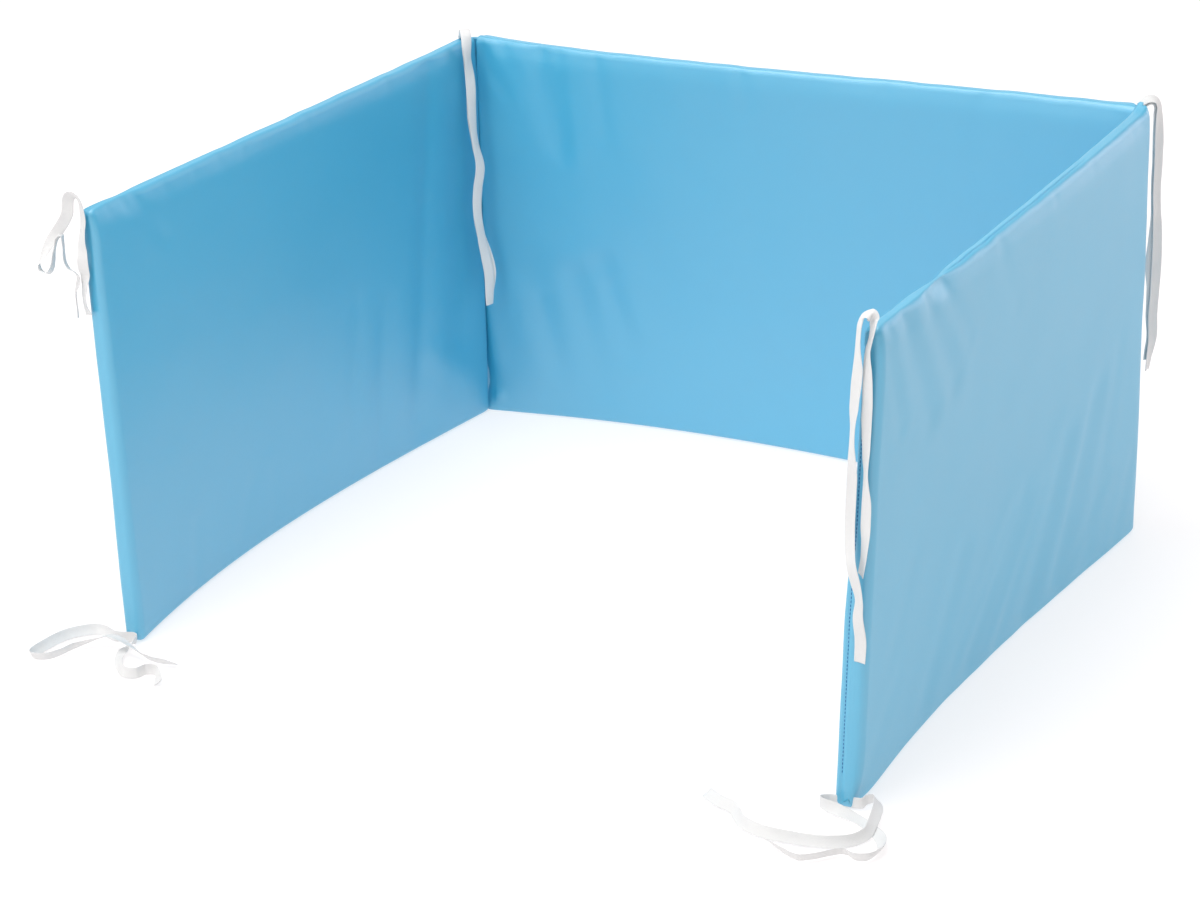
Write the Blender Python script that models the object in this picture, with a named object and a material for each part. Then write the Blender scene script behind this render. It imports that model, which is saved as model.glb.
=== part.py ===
"""A crib bumper: three flat foam pads in one sewn casing that folds at two corners and stands in a U,
with a tape tie at each top corner and at the foot of each free end."""

import math

import bpy
import numpy as np

# Driving dimensions, in metres.
PANEL_HEIGHT = 0.400
SIDE_LENGTH = 0.600  # a side pad with its casing, from free end to fold line
BACK_LENGTH = 0.700  # from fold line to fold line
PAD_THICKNESS = 0.018  # at the rim
CROWN = 0.0015  # how far the foam swells each face past its rim
RIM_ROUND = 0.006
FOLD_INSET = 0.0105  # from a pad's sewn end to the fold line
FOLD_ANGLES = (91.8, 87.1)  # inside the U, at the left fold and the right one, in degrees
WEB_THICKNESS = 0.0016  # both layers of casing, sewn flat
WEB_TOP_TRIM = 0.0015  # how far the sewn fold stays below the pads' tops
WEB_FOOT_TRIM = 0.005  # and above the floor
SEAT_GAP = 0.0003  # between two pieces that touch, and under a tape on the floor
TAPE_WIDTH = 0.010
TAPE_THICKNESS = 0.001
TAPE_CUP = 0.0006  # how far a tape's edges curl back from its middle
TAPE_STACK = 0.0025  # between the two halves of a folded tie

# How finely the solids are cut.
PAD_STATIONS = 30
FACE_STEPS = 13
ROUND_ANGLES = (20, 48, 76)
WEB_PLAN_STEPS = 5
WEB_HEIGHT_STEPS = 10
TAPE_STEP = 0.011  # a tape gets a section this often where it runs straight
TAPE_TURN = 36  # or each time that it bends and twists by this many degrees

# How each pad stands. Bows swell out of the U at mid length, at the floor and at the top; a skew moves
# the bow toward the pad's second post; sway pushes the free edge out at mid height. All in metres.
PANELS = {
    "left_panel": dict(posts=("left_end", "left_fold"), foot_bow=0.025, foot_skew=-0.006,
                       head_bow=-0.001, head_skew=0.0, sway=0.0),
    "back_panel": dict(posts=("left_fold", "right_fold"), foot_bow=0.036, foot_skew=-0.007,
                       head_bow=-0.0105, head_skew=0.011, sway=0.0),
    "right_panel": dict(posts=("right_fold", "right_end"), foot_bow=-0.0145, foot_skew=-0.005,
                        head_bow=0.005, head_skew=0.0, sway=0.002),
}

# How far the top of each post leans from over its foot, x and y in metres.
LEANS = {
    "left_end": (-0.008, -0.001),
    "left_fold": (0.006, -0.006),
    "right_fold": (-0.012, 0.022),
    "right_end": (0.010, 0.014),
}

# The sewn folds, each between the pad that ends there and the one that starts there.
WEBS = (
    ("left_fold_web", "left_panel", "back_panel"),
    ("right_fold_web", "back_panel", "right_panel"),
)

# Soft creases in the casing: face, share of length and of height at each end of the crease, half
# width and height in metres (below zero, a trough).
CREASE_COLUMNS = ("face", "s0", "t0", "s1", "t1", "width", "rise")
CREASES = {
    "left_panel": (
        ("in", 0.84, 0.98, 0.80, 0.06, 0.016, -0.0016),
        ("in", 0.71, 0.42, 0.69, 0.05, 0.014, -0.0010),
        ("in", 0.93, 0.80, 0.92, 0.26, 0.020, -0.0018),
        ("in", 0.84, 0.24, 0.96, 0.10, 0.014, 0.0012),
    ),
    "back_panel": (
        ("in", 0.12, 0.97, 0.14, 0.76, 0.013, -0.0014),
        ("in", 0.16, 0.40, 0.19, 0.10, 0.013, -0.0016),
        ("in", 0.20, 0.44, 0.23, 0.20, 0.012, -0.0012),
        ("in", 0.06, 0.34, 0.09, 0.07, 0.015, 0.0014),
    ),
    "right_panel": (
        ("out", 0.85, 0.95, 0.76, 0.77, 0.011, -0.0015),
        ("out", 0.92, 0.95, 0.83, 0.74, 0.012, -0.0018),
        ("out", 0.31, 0.38, 0.41, 0.04, 0.014, -0.0014),
        ("out", 0.46, 0.33, 0.60, 0.06, 0.014, -0.0014),
        ("out", 0.20, 0.44, 0.30, 0.06, 0.014, -0.0012),
        ("out", 0.67, 0.34, 0.76, 0.08, 0.014, -0.0010),
    ),
}

# Where a pad's sewn end is drawn in toward its seam: how far along, at the floor and at the top, and
# the share of the thickness that is lost at the seam.
PINCHES = {
    ("left_panel", 1): dict(foot_reach=0.016, head_reach=0.012, share=0.25),
    ("back_panel", 0): dict(foot_reach=0.040, head_reach=0.012, share=0.55),
    ("back_panel", 1): dict(foot_reach=0.020, head_reach=0.012, share=0.25),
    ("right_panel", 0): dict(foot_reach=0.016, head_reach=0.012, share=0.25),
}

# A top tie of a free end hangs in front of the pad's end face. Its rows run from one free end of the
# tape to the other: across the pad (out of the U), down from the top and off the end face, all in
# millimetres, and the tape's turn in degrees: 0 lies flat on the face and 90 stands square to it.
END_TIE_COLUMNS = ("across", "drop", "off", "turn")
END_TIES = {
    "left_end_top_tie": dict(panel="left_panel", rows=(
        (2.8, 92, 1.5, -26), (4.8, 77, 2.5, -42), (0.6, 63, 8, -26), (1.5, 56, 9, -5),
        (2.9, 44, 8, -5), (1.8, 26, 2, -25), (1.6, 12, 0.3, 0), (1.4, 4, 0.3, 0),
        (1.6, -4, 1, 50), (5.5, -10.5, 2, 86), (10, -6, 2.5, 88), (13.8, 3, 2.5, 88),
        (19, 15, 2.5, 90), (33, 29, 2.5, 90), (42, 44, 2.5, 90), (43.5, 53, 2.5, 90),
        (38, 56, 2.5, 90), (31, 45, 2.5, 90), (25.5, 33, 2.5, 90), (22.6, 25, 2.5, 90),
        (19.6, 24.5, 2.5, 90), (18.2, 31, 2.5, 80), (17.6, 40, 2, 60), (14.5, 48, 1.5, 45),
        (9.5, 54, 1, 40), (9, 62, 1, 42), (11, 72, 1, 42), (10.8, 91, 1, 47),
    )),
    "right_end_top_tie": dict(panel="right_panel", rows=(
        (6.3, 270, 1.5, -112), (5.6, 251, 1.5, -112), (4, 234, 2, -128), (4.6, 216, 4, -112),
        (2.5, 201, 9, -125), (-1.5, 188, 9, -130), (-5.5, 175, 5, -105), (-7.8, 158, 1.5, -100),
        (-8.6, 139, 1, -108), (-8.4, 112, 1, -95), (-9.6, 82, 1, -75), (-10.3, 56, 1, -30),
        (-9.6, 37, 1, -20), (-8.8, 22, 1.5, -30), (-8.8, 6, 1.5, -62), (-7.4, -6, 1.2, -84),
        (-3.4, -11, 1, -90), (0.4, -6.5, 0.8, -78), (1.2, 1.5, 0.5, -30), (0.8, 8, 0.3, 0),
        (0.4, 14, 0.3, 14), (0.2, 24, 0.8, 56), (0.5, 38, 1, 110), (1.2, 66, 1, 116), (2.6, 88, 1, 98),
        (3.8, 114, 1, 80), (5, 133, 1, 99), (5.4, 153, 1, 110), (5.4, 172, 0.5, 84),
        (4.6, 184, 0.3, 60), (2.5, 197, 0.3, 45),
    )),
}

# A fold's tie hangs doubled from the top of its corner. Its rows run up from the free end over the
# top to where it is sewn down: across the camera side of the corner, down from the top and out of the
# U's corner, in millimetres, the turn in degrees, and how far the second half fans out beside the
# first. `facing` names the direction that a turn of 90 lays the width along, `behind` the side of the
# first half that the second lies on, and `shorter` how much sooner it ends.
FOLD_TIE_COLUMNS = ("across", "drop", "out", "turn", "fan")
FOLD_TIES = {
    "left_fold_tie": dict(post="left_fold", facing="across", behind=-1, shorter=0.012, rows=(
        (6.2, 273, 40, 66, 0), (6.6, 254, 40, 82, 1), (7, 236, 40, 90, 4), (3.5, 214, 40, 86, 4),
        (0.5, 194, 40, 90, 2), (-2.2, 168, 40, 92, 1), (-1, 146, 40, 90, 1), (2.2, 124, 40, 92, 2),
        (-1, 99, 40, 100, 0.5), (-3.2, 75, 40, 142, 0), (-3.4, 60, 40, 134, 0),
        (-4, 36, 40, 92, 0.5), (-5.4, 12, 40.5, 148, 0), (-5.9, -1, 40.5, 124, 0),
        (-6.6, -10, 37, 96, 0), (-7.6, -13.5, 30, 90, 0), (-8.5, -10.5, 22.5, 90, 0),
        (-9, -5, 18.5, 90, 0), (-9.5, -3.2, 13.5, 90, 0),
    )),
    "right_fold_tie": dict(post="right_fold", facing="out", behind=1, shorter=0.010, rows=(
        (11.5, 254, 0, 66, 0), (13.2, 237, 0, 58, 0), (15, 222, 0, 45, 0), (14.4, 200, 0, 42, 1),
        (15, 178, 0, 42, 2), (15.6, 150, 0, 28, 5), (15.2, 127, 0, 32, 3), (13.6, 101, 0, 45, 0),
        (12.4, 78, 0, 45, 0), (12.8, 54, 0, 50, 0), (12.6, 36, 0, 50, 0), (12, 20, 0, 66, 0),
        (11.8, 8, 0, 88, 0), (11.2, -3, 0, 90, 0), (9, -7.8, 0, 90, 0), (4.4, -9.8, 0.2, 90, 0),
        (-0.2, -7.8, 0.4, 90, 0), (-3.2, -4, 0.7, 90, 0), (-6.6, -2.4, 0.9, 90, 0),
    )),
}

# A floor tie is sewn to the foot of a free end and lies on the floor. Its rows run from one free end
# to the other: across the pad (out of the U), away from the end face and up from where the tape would
# rest, in millimetres, and the turn in degrees: 0 lies flat and 90 stands on edge.
FLOOR_TIE_COLUMNS = ("across", "away", "lift", "turn")
FLOOR_TIES = {
    "left_end_floor_tie": dict(panel="left_panel", rows=(
        (-57, 38, 0, 35), (-48, 38.5, 0, 50), (-34, 37, 0, 55), (-14, 29, 4, 40), (5, 20, 9, 15),
        (15, 16, 9, 12), (32, 22, 3, 40), (43, 30, 0, 60), (50, 46, 0, 65), (60, 56, 0, 65),
        (70, 57, 0, 65), (68, 30, 0, 60), (58, 9, 0, 60), (48, 0, 0, 62), (38, -5, 0, 65),
        (28, -3, 0, 70), (15, 3.5, 0, 80), (6, 1.6, 0, 90), (0, 0.8, 0, 90), (-4, 3.5, 0, 82),
        (-3, 12, 0, 45), (0, 22, 0, 10), (-3, 35, 0, 20), (-12, 54, 0, 55), (-22, 65, 0, 75),
        (-31, 64, 0, 84), (-37, 55, 0, 84), (-44, 54, 0, 84), (-51, 62, 0, 65), (-57, 74, 0, 40),
    )),
    "right_end_floor_tie": dict(panel="right_panel", rows=(
        (-111, 22, 0, 30), (-96, 33, 0, 45), (-86, 37, 0, 50), (-66, 59, 0, 55), (-48, 66, 0, 55),
        (-30, 67, 0, 55), (-14, 67, 0, 60), (6, 63, 0, 60), (22, 53, 0, 60), (28, 42, 1, 55),
        (26, 31, 7, 30), (20, 20, 11, 24), (14, 11, 13, 45), (7, 4, 8, 80), (0, 1.5, 1, 90),
        (-7, 1.5, 0, 90), (-17, 2.5, 0, 88), (-22, 6, 0, 88), (-17, 10, 0, 86), (-5, 14, 0, 45),
        (10, 18, 0, 12), (26, 28, 0, 10), (41, 46, 0, 35), (45, 62, 0, 55), (39, 76, 0, 65),
        (29, 78, 0, 65), (20, 73.5, 0, 60), (10, 80, 0, 60), (1, 88, 0, 60), (-10, 94, 0, 60),
        (-23, 89, 0, 60), (-40, 77, 0, 40),
    )),
}

BLUE = (0.115, 0.400, 0.640)
WHITE = (0.880, 0.880, 0.870)


def chord(length, bow):
    """Straight distance between the ends of a strip of this length that bows this far."""
    return length - 8 / 3 * bow**2 / length


def post_feet():
    """Plan position of the four posts at the floor, from the lengths, bows and fold angles."""
    left, right = (math.radians(angle) for angle in FOLD_ANGLES)
    left_chord = chord(SIDE_LENGTH, PANELS["left_panel"]["foot_bow"])
    back_chord = chord(BACK_LENGTH, PANELS["back_panel"]["foot_bow"])
    right_chord = chord(SIDE_LENGTH, PANELS["right_panel"]["foot_bow"])
    return {
        "left_fold": np.array((0.0, 0.0)),
        "right_fold": np.array((back_chord, 0.0)),
        "left_end": left_chord * np.array((math.cos(left), -math.sin(left))),
        "right_end": np.array((back_chord, 0.0))
        + right_chord * np.array((-math.cos(right), -math.sin(right))),
    }


FEET = post_feet()


def panel_length(name):
    return BACK_LENGTH if name == "back_panel" else SIDE_LENGTH


def mid_surface(name, s, t):
    """Middle of a pad at shares s of its length and t of its height, with the directions along the
    pad and out of the U. The chord between the posts carries a bow of 4s(1-s) and a skew of
    10s(1-s)(s-1/2); both change in a straight line from floor to top."""
    panel = PANELS[name]
    s, t = np.broadcast_arrays(np.asarray(s, float), np.asarray(t, float))
    first, second = (
        FEET[post] + t[..., None] * np.array(LEANS[post]) for post in panel["posts"]
    )
    span = second - first
    length = np.linalg.norm(span, axis=-1)[..., None]
    along = span / length
    out = np.stack([-along[..., 1], along[..., 0]], axis=-1)
    bow = panel["foot_bow"] + t * (panel["head_bow"] - panel["foot_bow"])
    skew = panel["foot_skew"] + t * (panel["head_skew"] - panel["foot_skew"])
    offset = 4 * bow * s * (1 - s) + 10 * skew * s * (1 - s) * (s - 0.5)
    slope = 4 * bow * (1 - 2 * s) + 10 * skew * ((1 - 2 * s) * (s - 0.5) + s * (1 - s))
    slope = slope[..., None] / length
    free_at_start = panel["posts"][0].endswith("end")
    toward_free = (1 - s) ** 3 if free_at_start else s**3
    sway = panel["sway"] * np.sin(math.pi * t) * toward_free * (-1 if free_at_start else 1)
    middle = first + s[..., None] * span + offset[..., None] * out + sway[..., None] * along
    tangent = (along + slope * out) / np.sqrt(1 + slope**2)
    normal = (out - slope * along) / np.sqrt(1 + slope**2)
    return middle, tangent, normal


def crease_relief(name, face, s, t, length):
    """Sum of soft ridges and troughs: each is its rise times exp(-(d/width)^2), d being the distance
    to the crease's line."""
    relief = np.zeros(np.broadcast(s, t).shape)
    point = np.stack(np.broadcast_arrays(s * length, t * PANEL_HEIGHT), axis=-1)
    for row in CREASES[name]:
        crease = dict(zip(CREASE_COLUMNS, row))
        if crease["face"] != face:
            continue
        start = np.array((crease["s0"] * length, crease["t0"] * PANEL_HEIGHT))
        line = np.array((crease["s1"] * length, crease["t1"] * PANEL_HEIGHT)) - start
        share = np.clip((point - start) @ line / (line @ line), 0, 1)
        distance = np.linalg.norm(point - start - share[..., None] * line, axis=-1)
        relief += crease["rise"] * np.exp(-((distance / crease["width"]) ** 2))
    return relief


def stations(length, start, end):
    """Distances along a pad at which it gets a section, and each section's inset from the rim: the
    rounds at both ends are cut at fixed angles, and the rest is even."""
    angles = np.radians(ROUND_ANGLES)
    reach = RIM_ROUND * (1 - np.cos(angles))
    inset = RIM_ROUND * (1 - np.sin(angles))
    inner = np.linspace(start + RIM_ROUND, end - RIM_ROUND, PAD_STATIONS)
    along = np.concatenate([start + reach, inner, (end - reach)[::-1]])
    return along, np.concatenate([inset, np.zeros(PAD_STATIONS), inset[::-1]])


def pinch_of(name, along, start, end, t):
    """Share of the thickness that is left near a sewn end, falling as a square over its reach."""
    kept = np.ones(np.broadcast(along, t).shape)
    for (owner, which), pinch in PINCHES.items():
        if owner != name:
            continue
        away = along - start if which == 0 else end - along
        reach = pinch["foot_reach"] + t * (pinch["head_reach"] - pinch["foot_reach"])
        near = np.clip(1 - away / reach, 0, 1)
        kept = kept * (1 - pinch["share"] * near**2)
    return kept


def pad_points(name):
    """Vertices of a pad: at each station a column of points runs up each face, from the middle of the
    flat underside's edge, round the rim, up the face and round the top."""
    posts = PANELS[name]["posts"]
    length = panel_length(name)
    start, end = (FOLD_INSET if post.endswith("fold") else 0.0 for post in posts)
    end = length - end
    along, inset = (values[:, None] for values in stations(length, start, end))
    radius = RIM_ROUND - inset
    turn = np.radians((-90, -60, -30))
    face = np.linspace(0, 1, FACE_STEPS + 1)
    # Each column point is a share of the straight face and a turn round the nearer rim.
    share = np.concatenate([np.zeros(3), face, np.ones(3)])
    angle = np.concatenate([turn, np.zeros(FACE_STEPS + 1), -turn[::-1]])
    low, high = inset + radius, PANEL_HEIGHT - inset - radius
    height = low + share * (high - low) + radius * np.sin(angle)
    t = height / PANEL_HEIGHT
    s = along / length
    core = PAD_THICKNESS / 2 - RIM_ROUND
    half = core + radius * np.cos(angle)
    crown = CROWN * (1 - (2 * s - 1) ** 4) * (1 - (2 * t - 1) ** 4)
    kept = pinch_of(name, along, start, end, t)
    middle, _, normal = mid_surface(name, s, t)
    columns = []
    for face_name, sign in (("out", 1), ("in", -1)):
        relief = crease_relief(name, face_name, s, t, length) * np.cos(angle) ** 2
        depth = sign * (half * kept + crown + relief)
        plan = middle + depth[..., None] * normal
        columns.append(np.concatenate([plan, height[..., None]], axis=-1))
    return columns


def loft_faces(stations_count, ring):
    """Quads of a loft of closed rings, with each end closed by a strip that joins the ring's two
    mirrored halves."""
    faces = []
    for i in range(stations_count - 1):
        for j in range(ring):
            k = (j + 1) % ring
            faces.append((i * ring + j, i * ring + k, (i + 1) * ring + k, (i + 1) * ring + j))
    last = (stations_count - 1) * ring
    for j in range(ring // 2 - 1):
        a, b, c, d = j, j + 1, ring - 2 - j, ring - 1 - j
        faces.append((d, c, b, a))
        faces.append((last + a, last + b, last + c, last + d))
    return faces


def add_object(name, points, faces, material, parent, smooth_angle=40):
    """A mesh object under the parent, shaded smooth except across edges sharper than the angle."""
    mesh = bpy.data.meshes.new(name)
    mesh.from_pydata([tuple(point) for point in points], [], faces)
    mesh.materials.append(material)
    mesh.shade_smooth()
    mesh.set_sharp_from_angle(angle=math.radians(smooth_angle))
    mesh.update()
    node = bpy.data.objects.new(name, mesh)
    node.parent = parent
    bpy.context.scene.collection.objects.link(node)
    return node


def add_pad(name, material, parent):
    outer, inner = pad_points(name)
    rings = np.concatenate([outer, inner[:, ::-1]], axis=1)
    count, ring = rings.shape[:2]
    return add_object(name, rings.reshape(-1, 3), loft_faces(count, ring), material, parent)


def add_web(name, first, second, material, parent):
    """The casing sewn flat between two pads: a strip on the curve (1-u)^2 A + 2u(1-u) F + u^2 B from
    one sewn end to the next, pulled toward the fold line F, at each height."""
    post = PANELS[first]["posts"][1]
    heights = np.linspace(WEB_FOOT_TRIM, PANEL_HEIGHT - WEB_TOP_TRIM, WEB_HEIGHT_STEPS + 1)
    t = heights / PANEL_HEIGHT
    start = mid_surface(first, 1 - (FOLD_INSET - SEAT_GAP) / panel_length(first), t)[0]
    end = mid_surface(second, (FOLD_INSET - SEAT_GAP) / panel_length(second), t)[0]
    fold = FEET[post] + t[:, None] * np.array(LEANS[post])
    u = np.linspace(0, 1, WEB_PLAN_STEPS + 1)[:, None, None]
    plan = (1 - u) ** 2 * start + 2 * u * (1 - u) * fold + u**2 * end
    run = 2 * (1 - u) * (fold - start) + 2 * u * (end - fold)
    run /= np.linalg.norm(run, axis=-1)[..., None]
    side = np.stack([-run[..., 1], run[..., 0]], axis=-1) * WEB_THICKNESS / 2
    level = np.broadcast_to(heights[:, None], plan.shape[:2] + (1,))
    outer, inner = (np.concatenate([plan + shift, level], axis=-1) for shift in (side, -side))
    rings = np.concatenate([outer, inner[:, ::-1]], axis=1)
    count, ring = rings.shape[:2]
    return add_object(name, rings.reshape(-1, 3), loft_faces(count, ring), material, parent)


def table(columns, rows):
    """The rows as one array for each named column."""
    return dict(zip(columns, np.array(rows, float).T))


def end_frame(name, t):
    """At a pad's free end: the middle of its end face at height share t, the direction across the pad
    and out of the U, and the direction away from the face."""
    free_at_start = PANELS[name]["posts"][0].endswith("end")
    middle, tangent, normal = mid_surface(name, 0.0 if free_at_start else 1.0, t)
    flat = [np.pad(values, [(0, 0), (0, 1)]) for values in (middle, normal, tangent)]
    return flat[0], flat[1], -flat[2] if free_at_start else flat[2]


def smooth_route(knots, step=0.0005):
    """Dense points along a smooth curve through the knots: cubic Hermite pieces over the distance
    between knots, with the knots' own slopes. Columns after the third ride along."""
    gaps = np.linalg.norm(np.diff(knots[:, :3], axis=0), axis=1)
    reached = np.concatenate([[0.0], np.cumsum(gaps)])
    slopes = np.gradient(knots, reached, axis=0)
    fine = np.linspace(0, reached[-1], int(reached[-1] / step))
    i = np.clip(np.searchsorted(reached, fine, side="right") - 1, 0, len(gaps) - 1)
    gap = gaps[i][:, None]
    v = (fine - reached[i])[:, None] / gap
    return (
        (2 * v**3 - 3 * v**2 + 1) * knots[i]
        + (v**3 - 2 * v**2 + v) * gap * slopes[i]
        + (3 * v**2 - 2 * v**3) * knots[i + 1]
        + (v**3 - v**2) * gap * slopes[i + 1]
    )


def unit(vectors):
    return vectors / np.linalg.norm(vectors, axis=-1)[..., None]


def tape_widths(points, turn, facing):
    """Direction of the tape's width: the level direction facing x travel, turned toward `facing`."""
    travel = unit(np.gradient(points, axis=0))
    level = unit(np.cross(facing, travel))
    square = np.cross(travel, level)
    turn = np.radians(turn)[:, None]
    return np.cos(turn) * level + np.sin(turn) * square


def add_tape(name, points, widths, material, parent):
    """A tape along dense points. It gets a section each TAPE_STEP of length or TAPE_TURN of bend and
    twist together, and its edges curl back a little from its middle."""
    travel = unit(np.gradient(points, axis=0))
    length = np.linalg.norm(np.diff(points, axis=0), axis=1)
    bend, twist = (np.linalg.norm(np.diff(v, axis=0), axis=1) for v in (travel, widths))
    effort = length / TAPE_STEP + (bend + twist) / math.radians(TAPE_TURN)
    effort = np.concatenate([[0.0], np.cumsum(effort)])
    sections = np.linspace(0, effort[-1], int(effort[-1]) + 1)
    centre, travel, width = (
        np.stack([np.interp(sections, effort, v[:, axis]) for axis in range(3)], axis=-1)
        for v in (points, travel, widths)
    )
    face = unit(np.cross(width, travel))
    edge = unit(width) * TAPE_WIDTH / 2
    back = -face * TAPE_CUP
    front = face * TAPE_THICKNESS / 2
    profile = (back - edge, 0 * back, back + edge)
    ring = [centre + spot + front for spot in profile]
    ring += [centre + spot - front for spot in profile[::-1]]
    rings = np.stack(ring, axis=1)
    return add_object(name, rings.reshape(-1, 3), loft_faces(*rings.shape[:2]), material, parent)


def add_end_tie(name, tie, material, parent):
    rows = table(END_TIE_COLUMNS, tie["rows"])
    height = PANEL_HEIGHT - rows["drop"] / 1000
    middle, across, away = end_frame(tie["panel"], height / PANEL_HEIGHT)
    edge_reach = np.abs(np.sin(np.radians(rows["turn"]))) * TAPE_WIDTH / 2
    stand_off = rows["off"] / 1000 + TAPE_THICKNESS / 2 + edge_reach
    points = middle + rows["across"][:, None] / 1000 * across + stand_off[:, None] * away
    points[:, 2] = height
    route = smooth_route(np.column_stack([points, rows["turn"]]))
    facing = away.mean(axis=0)
    add_tape(name, route[:, :3], tape_widths(route[:, :3], route[:, 3], facing), material, parent)


def add_fold_tie(name, tie, material, parent):
    """Both halves of the tape, joined by a half circle where they are sewn down."""
    rows = table(FOLD_TIE_COLUMNS, tie["rows"])
    post = FEET[tie["post"]] + np.array(LEANS[tie["post"]])
    axes = dict(across=np.array((0.866, 0.5, 0.0)), out=np.array((0.5, -0.866, 0.0)))
    points = np.append(post, PANEL_HEIGHT) + sum(
        rows[column][:, None] / 1000 * axes[column] for column in ("across", "out")
    )
    points[:, 2] -= rows["drop"] / 1000
    route = smooth_route(np.column_stack([points, rows["turn"], rows["fan"] / 1000]))
    first = route[:, :3]
    widths = tape_widths(first, route[:, 3], axes[tie["facing"]])
    travel = unit(np.gradient(first, axis=0))
    shift = tie["behind"] * TAPE_STACK * unit(np.cross(widths, travel))
    second = first + shift + route[:, 4:] * widths
    kept = np.cumsum(np.linalg.norm(np.diff(first, axis=0), axis=1)) > tie["shorter"]
    second = second[1:][kept][::-1]
    around = np.radians(np.arange(15, 180, 15))[:, None]
    bow = first[-1] + shift[-1] / 2 * (1 - np.cos(around))
    bow = bow + TAPE_STACK / 2 * np.sin(around) * travel[-1]
    steady = np.broadcast_to(widths[-1], bow.shape)
    add_tape(name, np.concatenate([first, bow, second]),
             np.concatenate([widths, steady, widths[1:][kept][::-1]]), material, parent)


def add_floor_tie(name, tie, material, parent):
    rows = table(FLOOR_TIE_COLUMNS, tie["rows"])
    middle, across, away = end_frame(tie["panel"], np.zeros(1))
    points = (
        middle + rows["across"][:, None] / 1000 * across + rows["away"][:, None] / 1000 * away
    )
    turn = np.radians(rows["turn"])
    reach = np.abs(np.sin(turn)) * TAPE_WIDTH / 2
    thickness = np.abs(np.cos(turn)) * (TAPE_THICKNESS / 2 + TAPE_CUP)
    points[:, 2] = SEAT_GAP + reach + thickness + rows["lift"] / 1000
    route = smooth_route(np.column_stack([points, rows["turn"]]))
    up = np.array((0.0, 0.0, 1.0))
    add_tape(name, route[:, :3], tape_widths(route[:, :3], route[:, 3], up), material, parent)


def fabric(name, color, roughness):
    material = bpy.data.materials.new(name)
    material.use_nodes = True
    shader = material.node_tree.nodes["Principled BSDF"]
    shader.inputs["Base Color"].default_value = (*color, 1)
    shader.inputs["Roughness"].default_value = roughness
    shader.inputs["Metallic"].default_value = 0.0
    return material


def stand_on_origin(bumper):
    """Shifts the whole bumper so that the middle of its footprint's box is the origin."""
    points = np.array([corner.co for node in bumper.children for corner in node.data.vertices])
    low, high = points.min(axis=0), points.max(axis=0)
    bumper.location = (-(low[0] + high[0]) / 2, -(low[1] + high[1]) / 2, -low[2])


def main():
    for old in list(bpy.data.objects):
        bpy.data.objects.remove(old)
    bumper = bpy.data.objects.new("bumper", None)
    bpy.context.scene.collection.objects.link(bumper)
    for name in PANELS:
        add_pad(name, fabric(name + "_cover", BLUE, 0.45), bumper)
    for name, first, second in WEBS:
        add_web(name, first, second, fabric(name + "_cover", BLUE, 0.45), bumper)
    for ties, add_tie in ((END_TIES, add_end_tie), (FOLD_TIES, add_fold_tie),
                          (FLOOR_TIES, add_floor_tie)):
        for name, tie in ties.items():
            add_tie(name, tie, fabric(name + "_tape", WHITE, 0.8), bumper)
    stand_on_origin(bumper)


main()
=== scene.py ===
import math

import bpy
import numpy as np
from mathutils import Matrix, Vector


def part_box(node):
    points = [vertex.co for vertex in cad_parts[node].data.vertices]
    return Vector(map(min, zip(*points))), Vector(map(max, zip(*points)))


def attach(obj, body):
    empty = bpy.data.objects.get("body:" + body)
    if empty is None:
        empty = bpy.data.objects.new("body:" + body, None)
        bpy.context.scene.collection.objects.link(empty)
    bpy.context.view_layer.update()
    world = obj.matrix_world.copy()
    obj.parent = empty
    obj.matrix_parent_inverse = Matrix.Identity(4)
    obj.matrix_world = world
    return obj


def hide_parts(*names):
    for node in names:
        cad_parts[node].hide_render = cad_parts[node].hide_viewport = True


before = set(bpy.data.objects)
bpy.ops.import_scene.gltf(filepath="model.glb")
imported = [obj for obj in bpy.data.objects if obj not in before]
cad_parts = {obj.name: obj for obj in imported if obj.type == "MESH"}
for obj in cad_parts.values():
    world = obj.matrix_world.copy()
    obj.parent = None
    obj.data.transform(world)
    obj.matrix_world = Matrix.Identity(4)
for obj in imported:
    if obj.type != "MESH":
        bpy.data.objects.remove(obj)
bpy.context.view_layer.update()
print("frame loaded,", len(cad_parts), "solids")

# The bumper's own sizes, in metres. The plan's zero is the foot of the left fold, and `middle` is the
# middle of the footprint's box there, which the frame keeps at its origin.
bumper = {
    "height": 0.400,
    "sideLength": 0.600,  # free end to fold line
    "backLength": 0.700,  # fold line to fold line
    "thickness": 0.018,
    "crown": 0.0015,  # how far the foam swells each face
    "rimRound": 0.006,
    "foldInset": 0.0105,  # from a pad's sewn end to the fold line
    "foldAngles": (91.8, 87.1),
    "middle": (0.31704, -0.32514),
}

# How each pad stands: bows out of the U at the floor and at the top, skews of the bow toward the
# second post, and sway of the free edge, in metres.
pads = {
    "leftPad": {"node": "left_panel", "posts": ("leftEnd", "leftFold"), "footBow": 0.025,
                "footSkew": -0.006, "headBow": -0.001, "headSkew": 0.0, "sway": 0.0, "seed": 3},
    "backPad": {"node": "back_panel", "posts": ("leftFold", "rightFold"), "footBow": 0.036,
                "footSkew": -0.007, "headBow": -0.0105, "headSkew": 0.011, "sway": 0.0, "seed": 11},
    "rightPad": {"node": "right_panel", "posts": ("rightFold", "rightEnd"), "footBow": -0.0145,
                 "footSkew": -0.005, "headBow": 0.0035, "headSkew": 0.0, "sway": 0.002, "seed": 23},
}
leans = {  # how far each post's top leans from over its foot
    "leftEnd": (-0.008, -0.001),
    "leftFold": (0.006, -0.006),
    "rightFold": (-0.012, 0.022),
    "rightEnd": (0.010, 0.014),
}


# Vectors divided by their own lengths.
def unit(vectors):
    return vectors / np.linalg.norm(vectors, axis=-1)[..., None]


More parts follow.
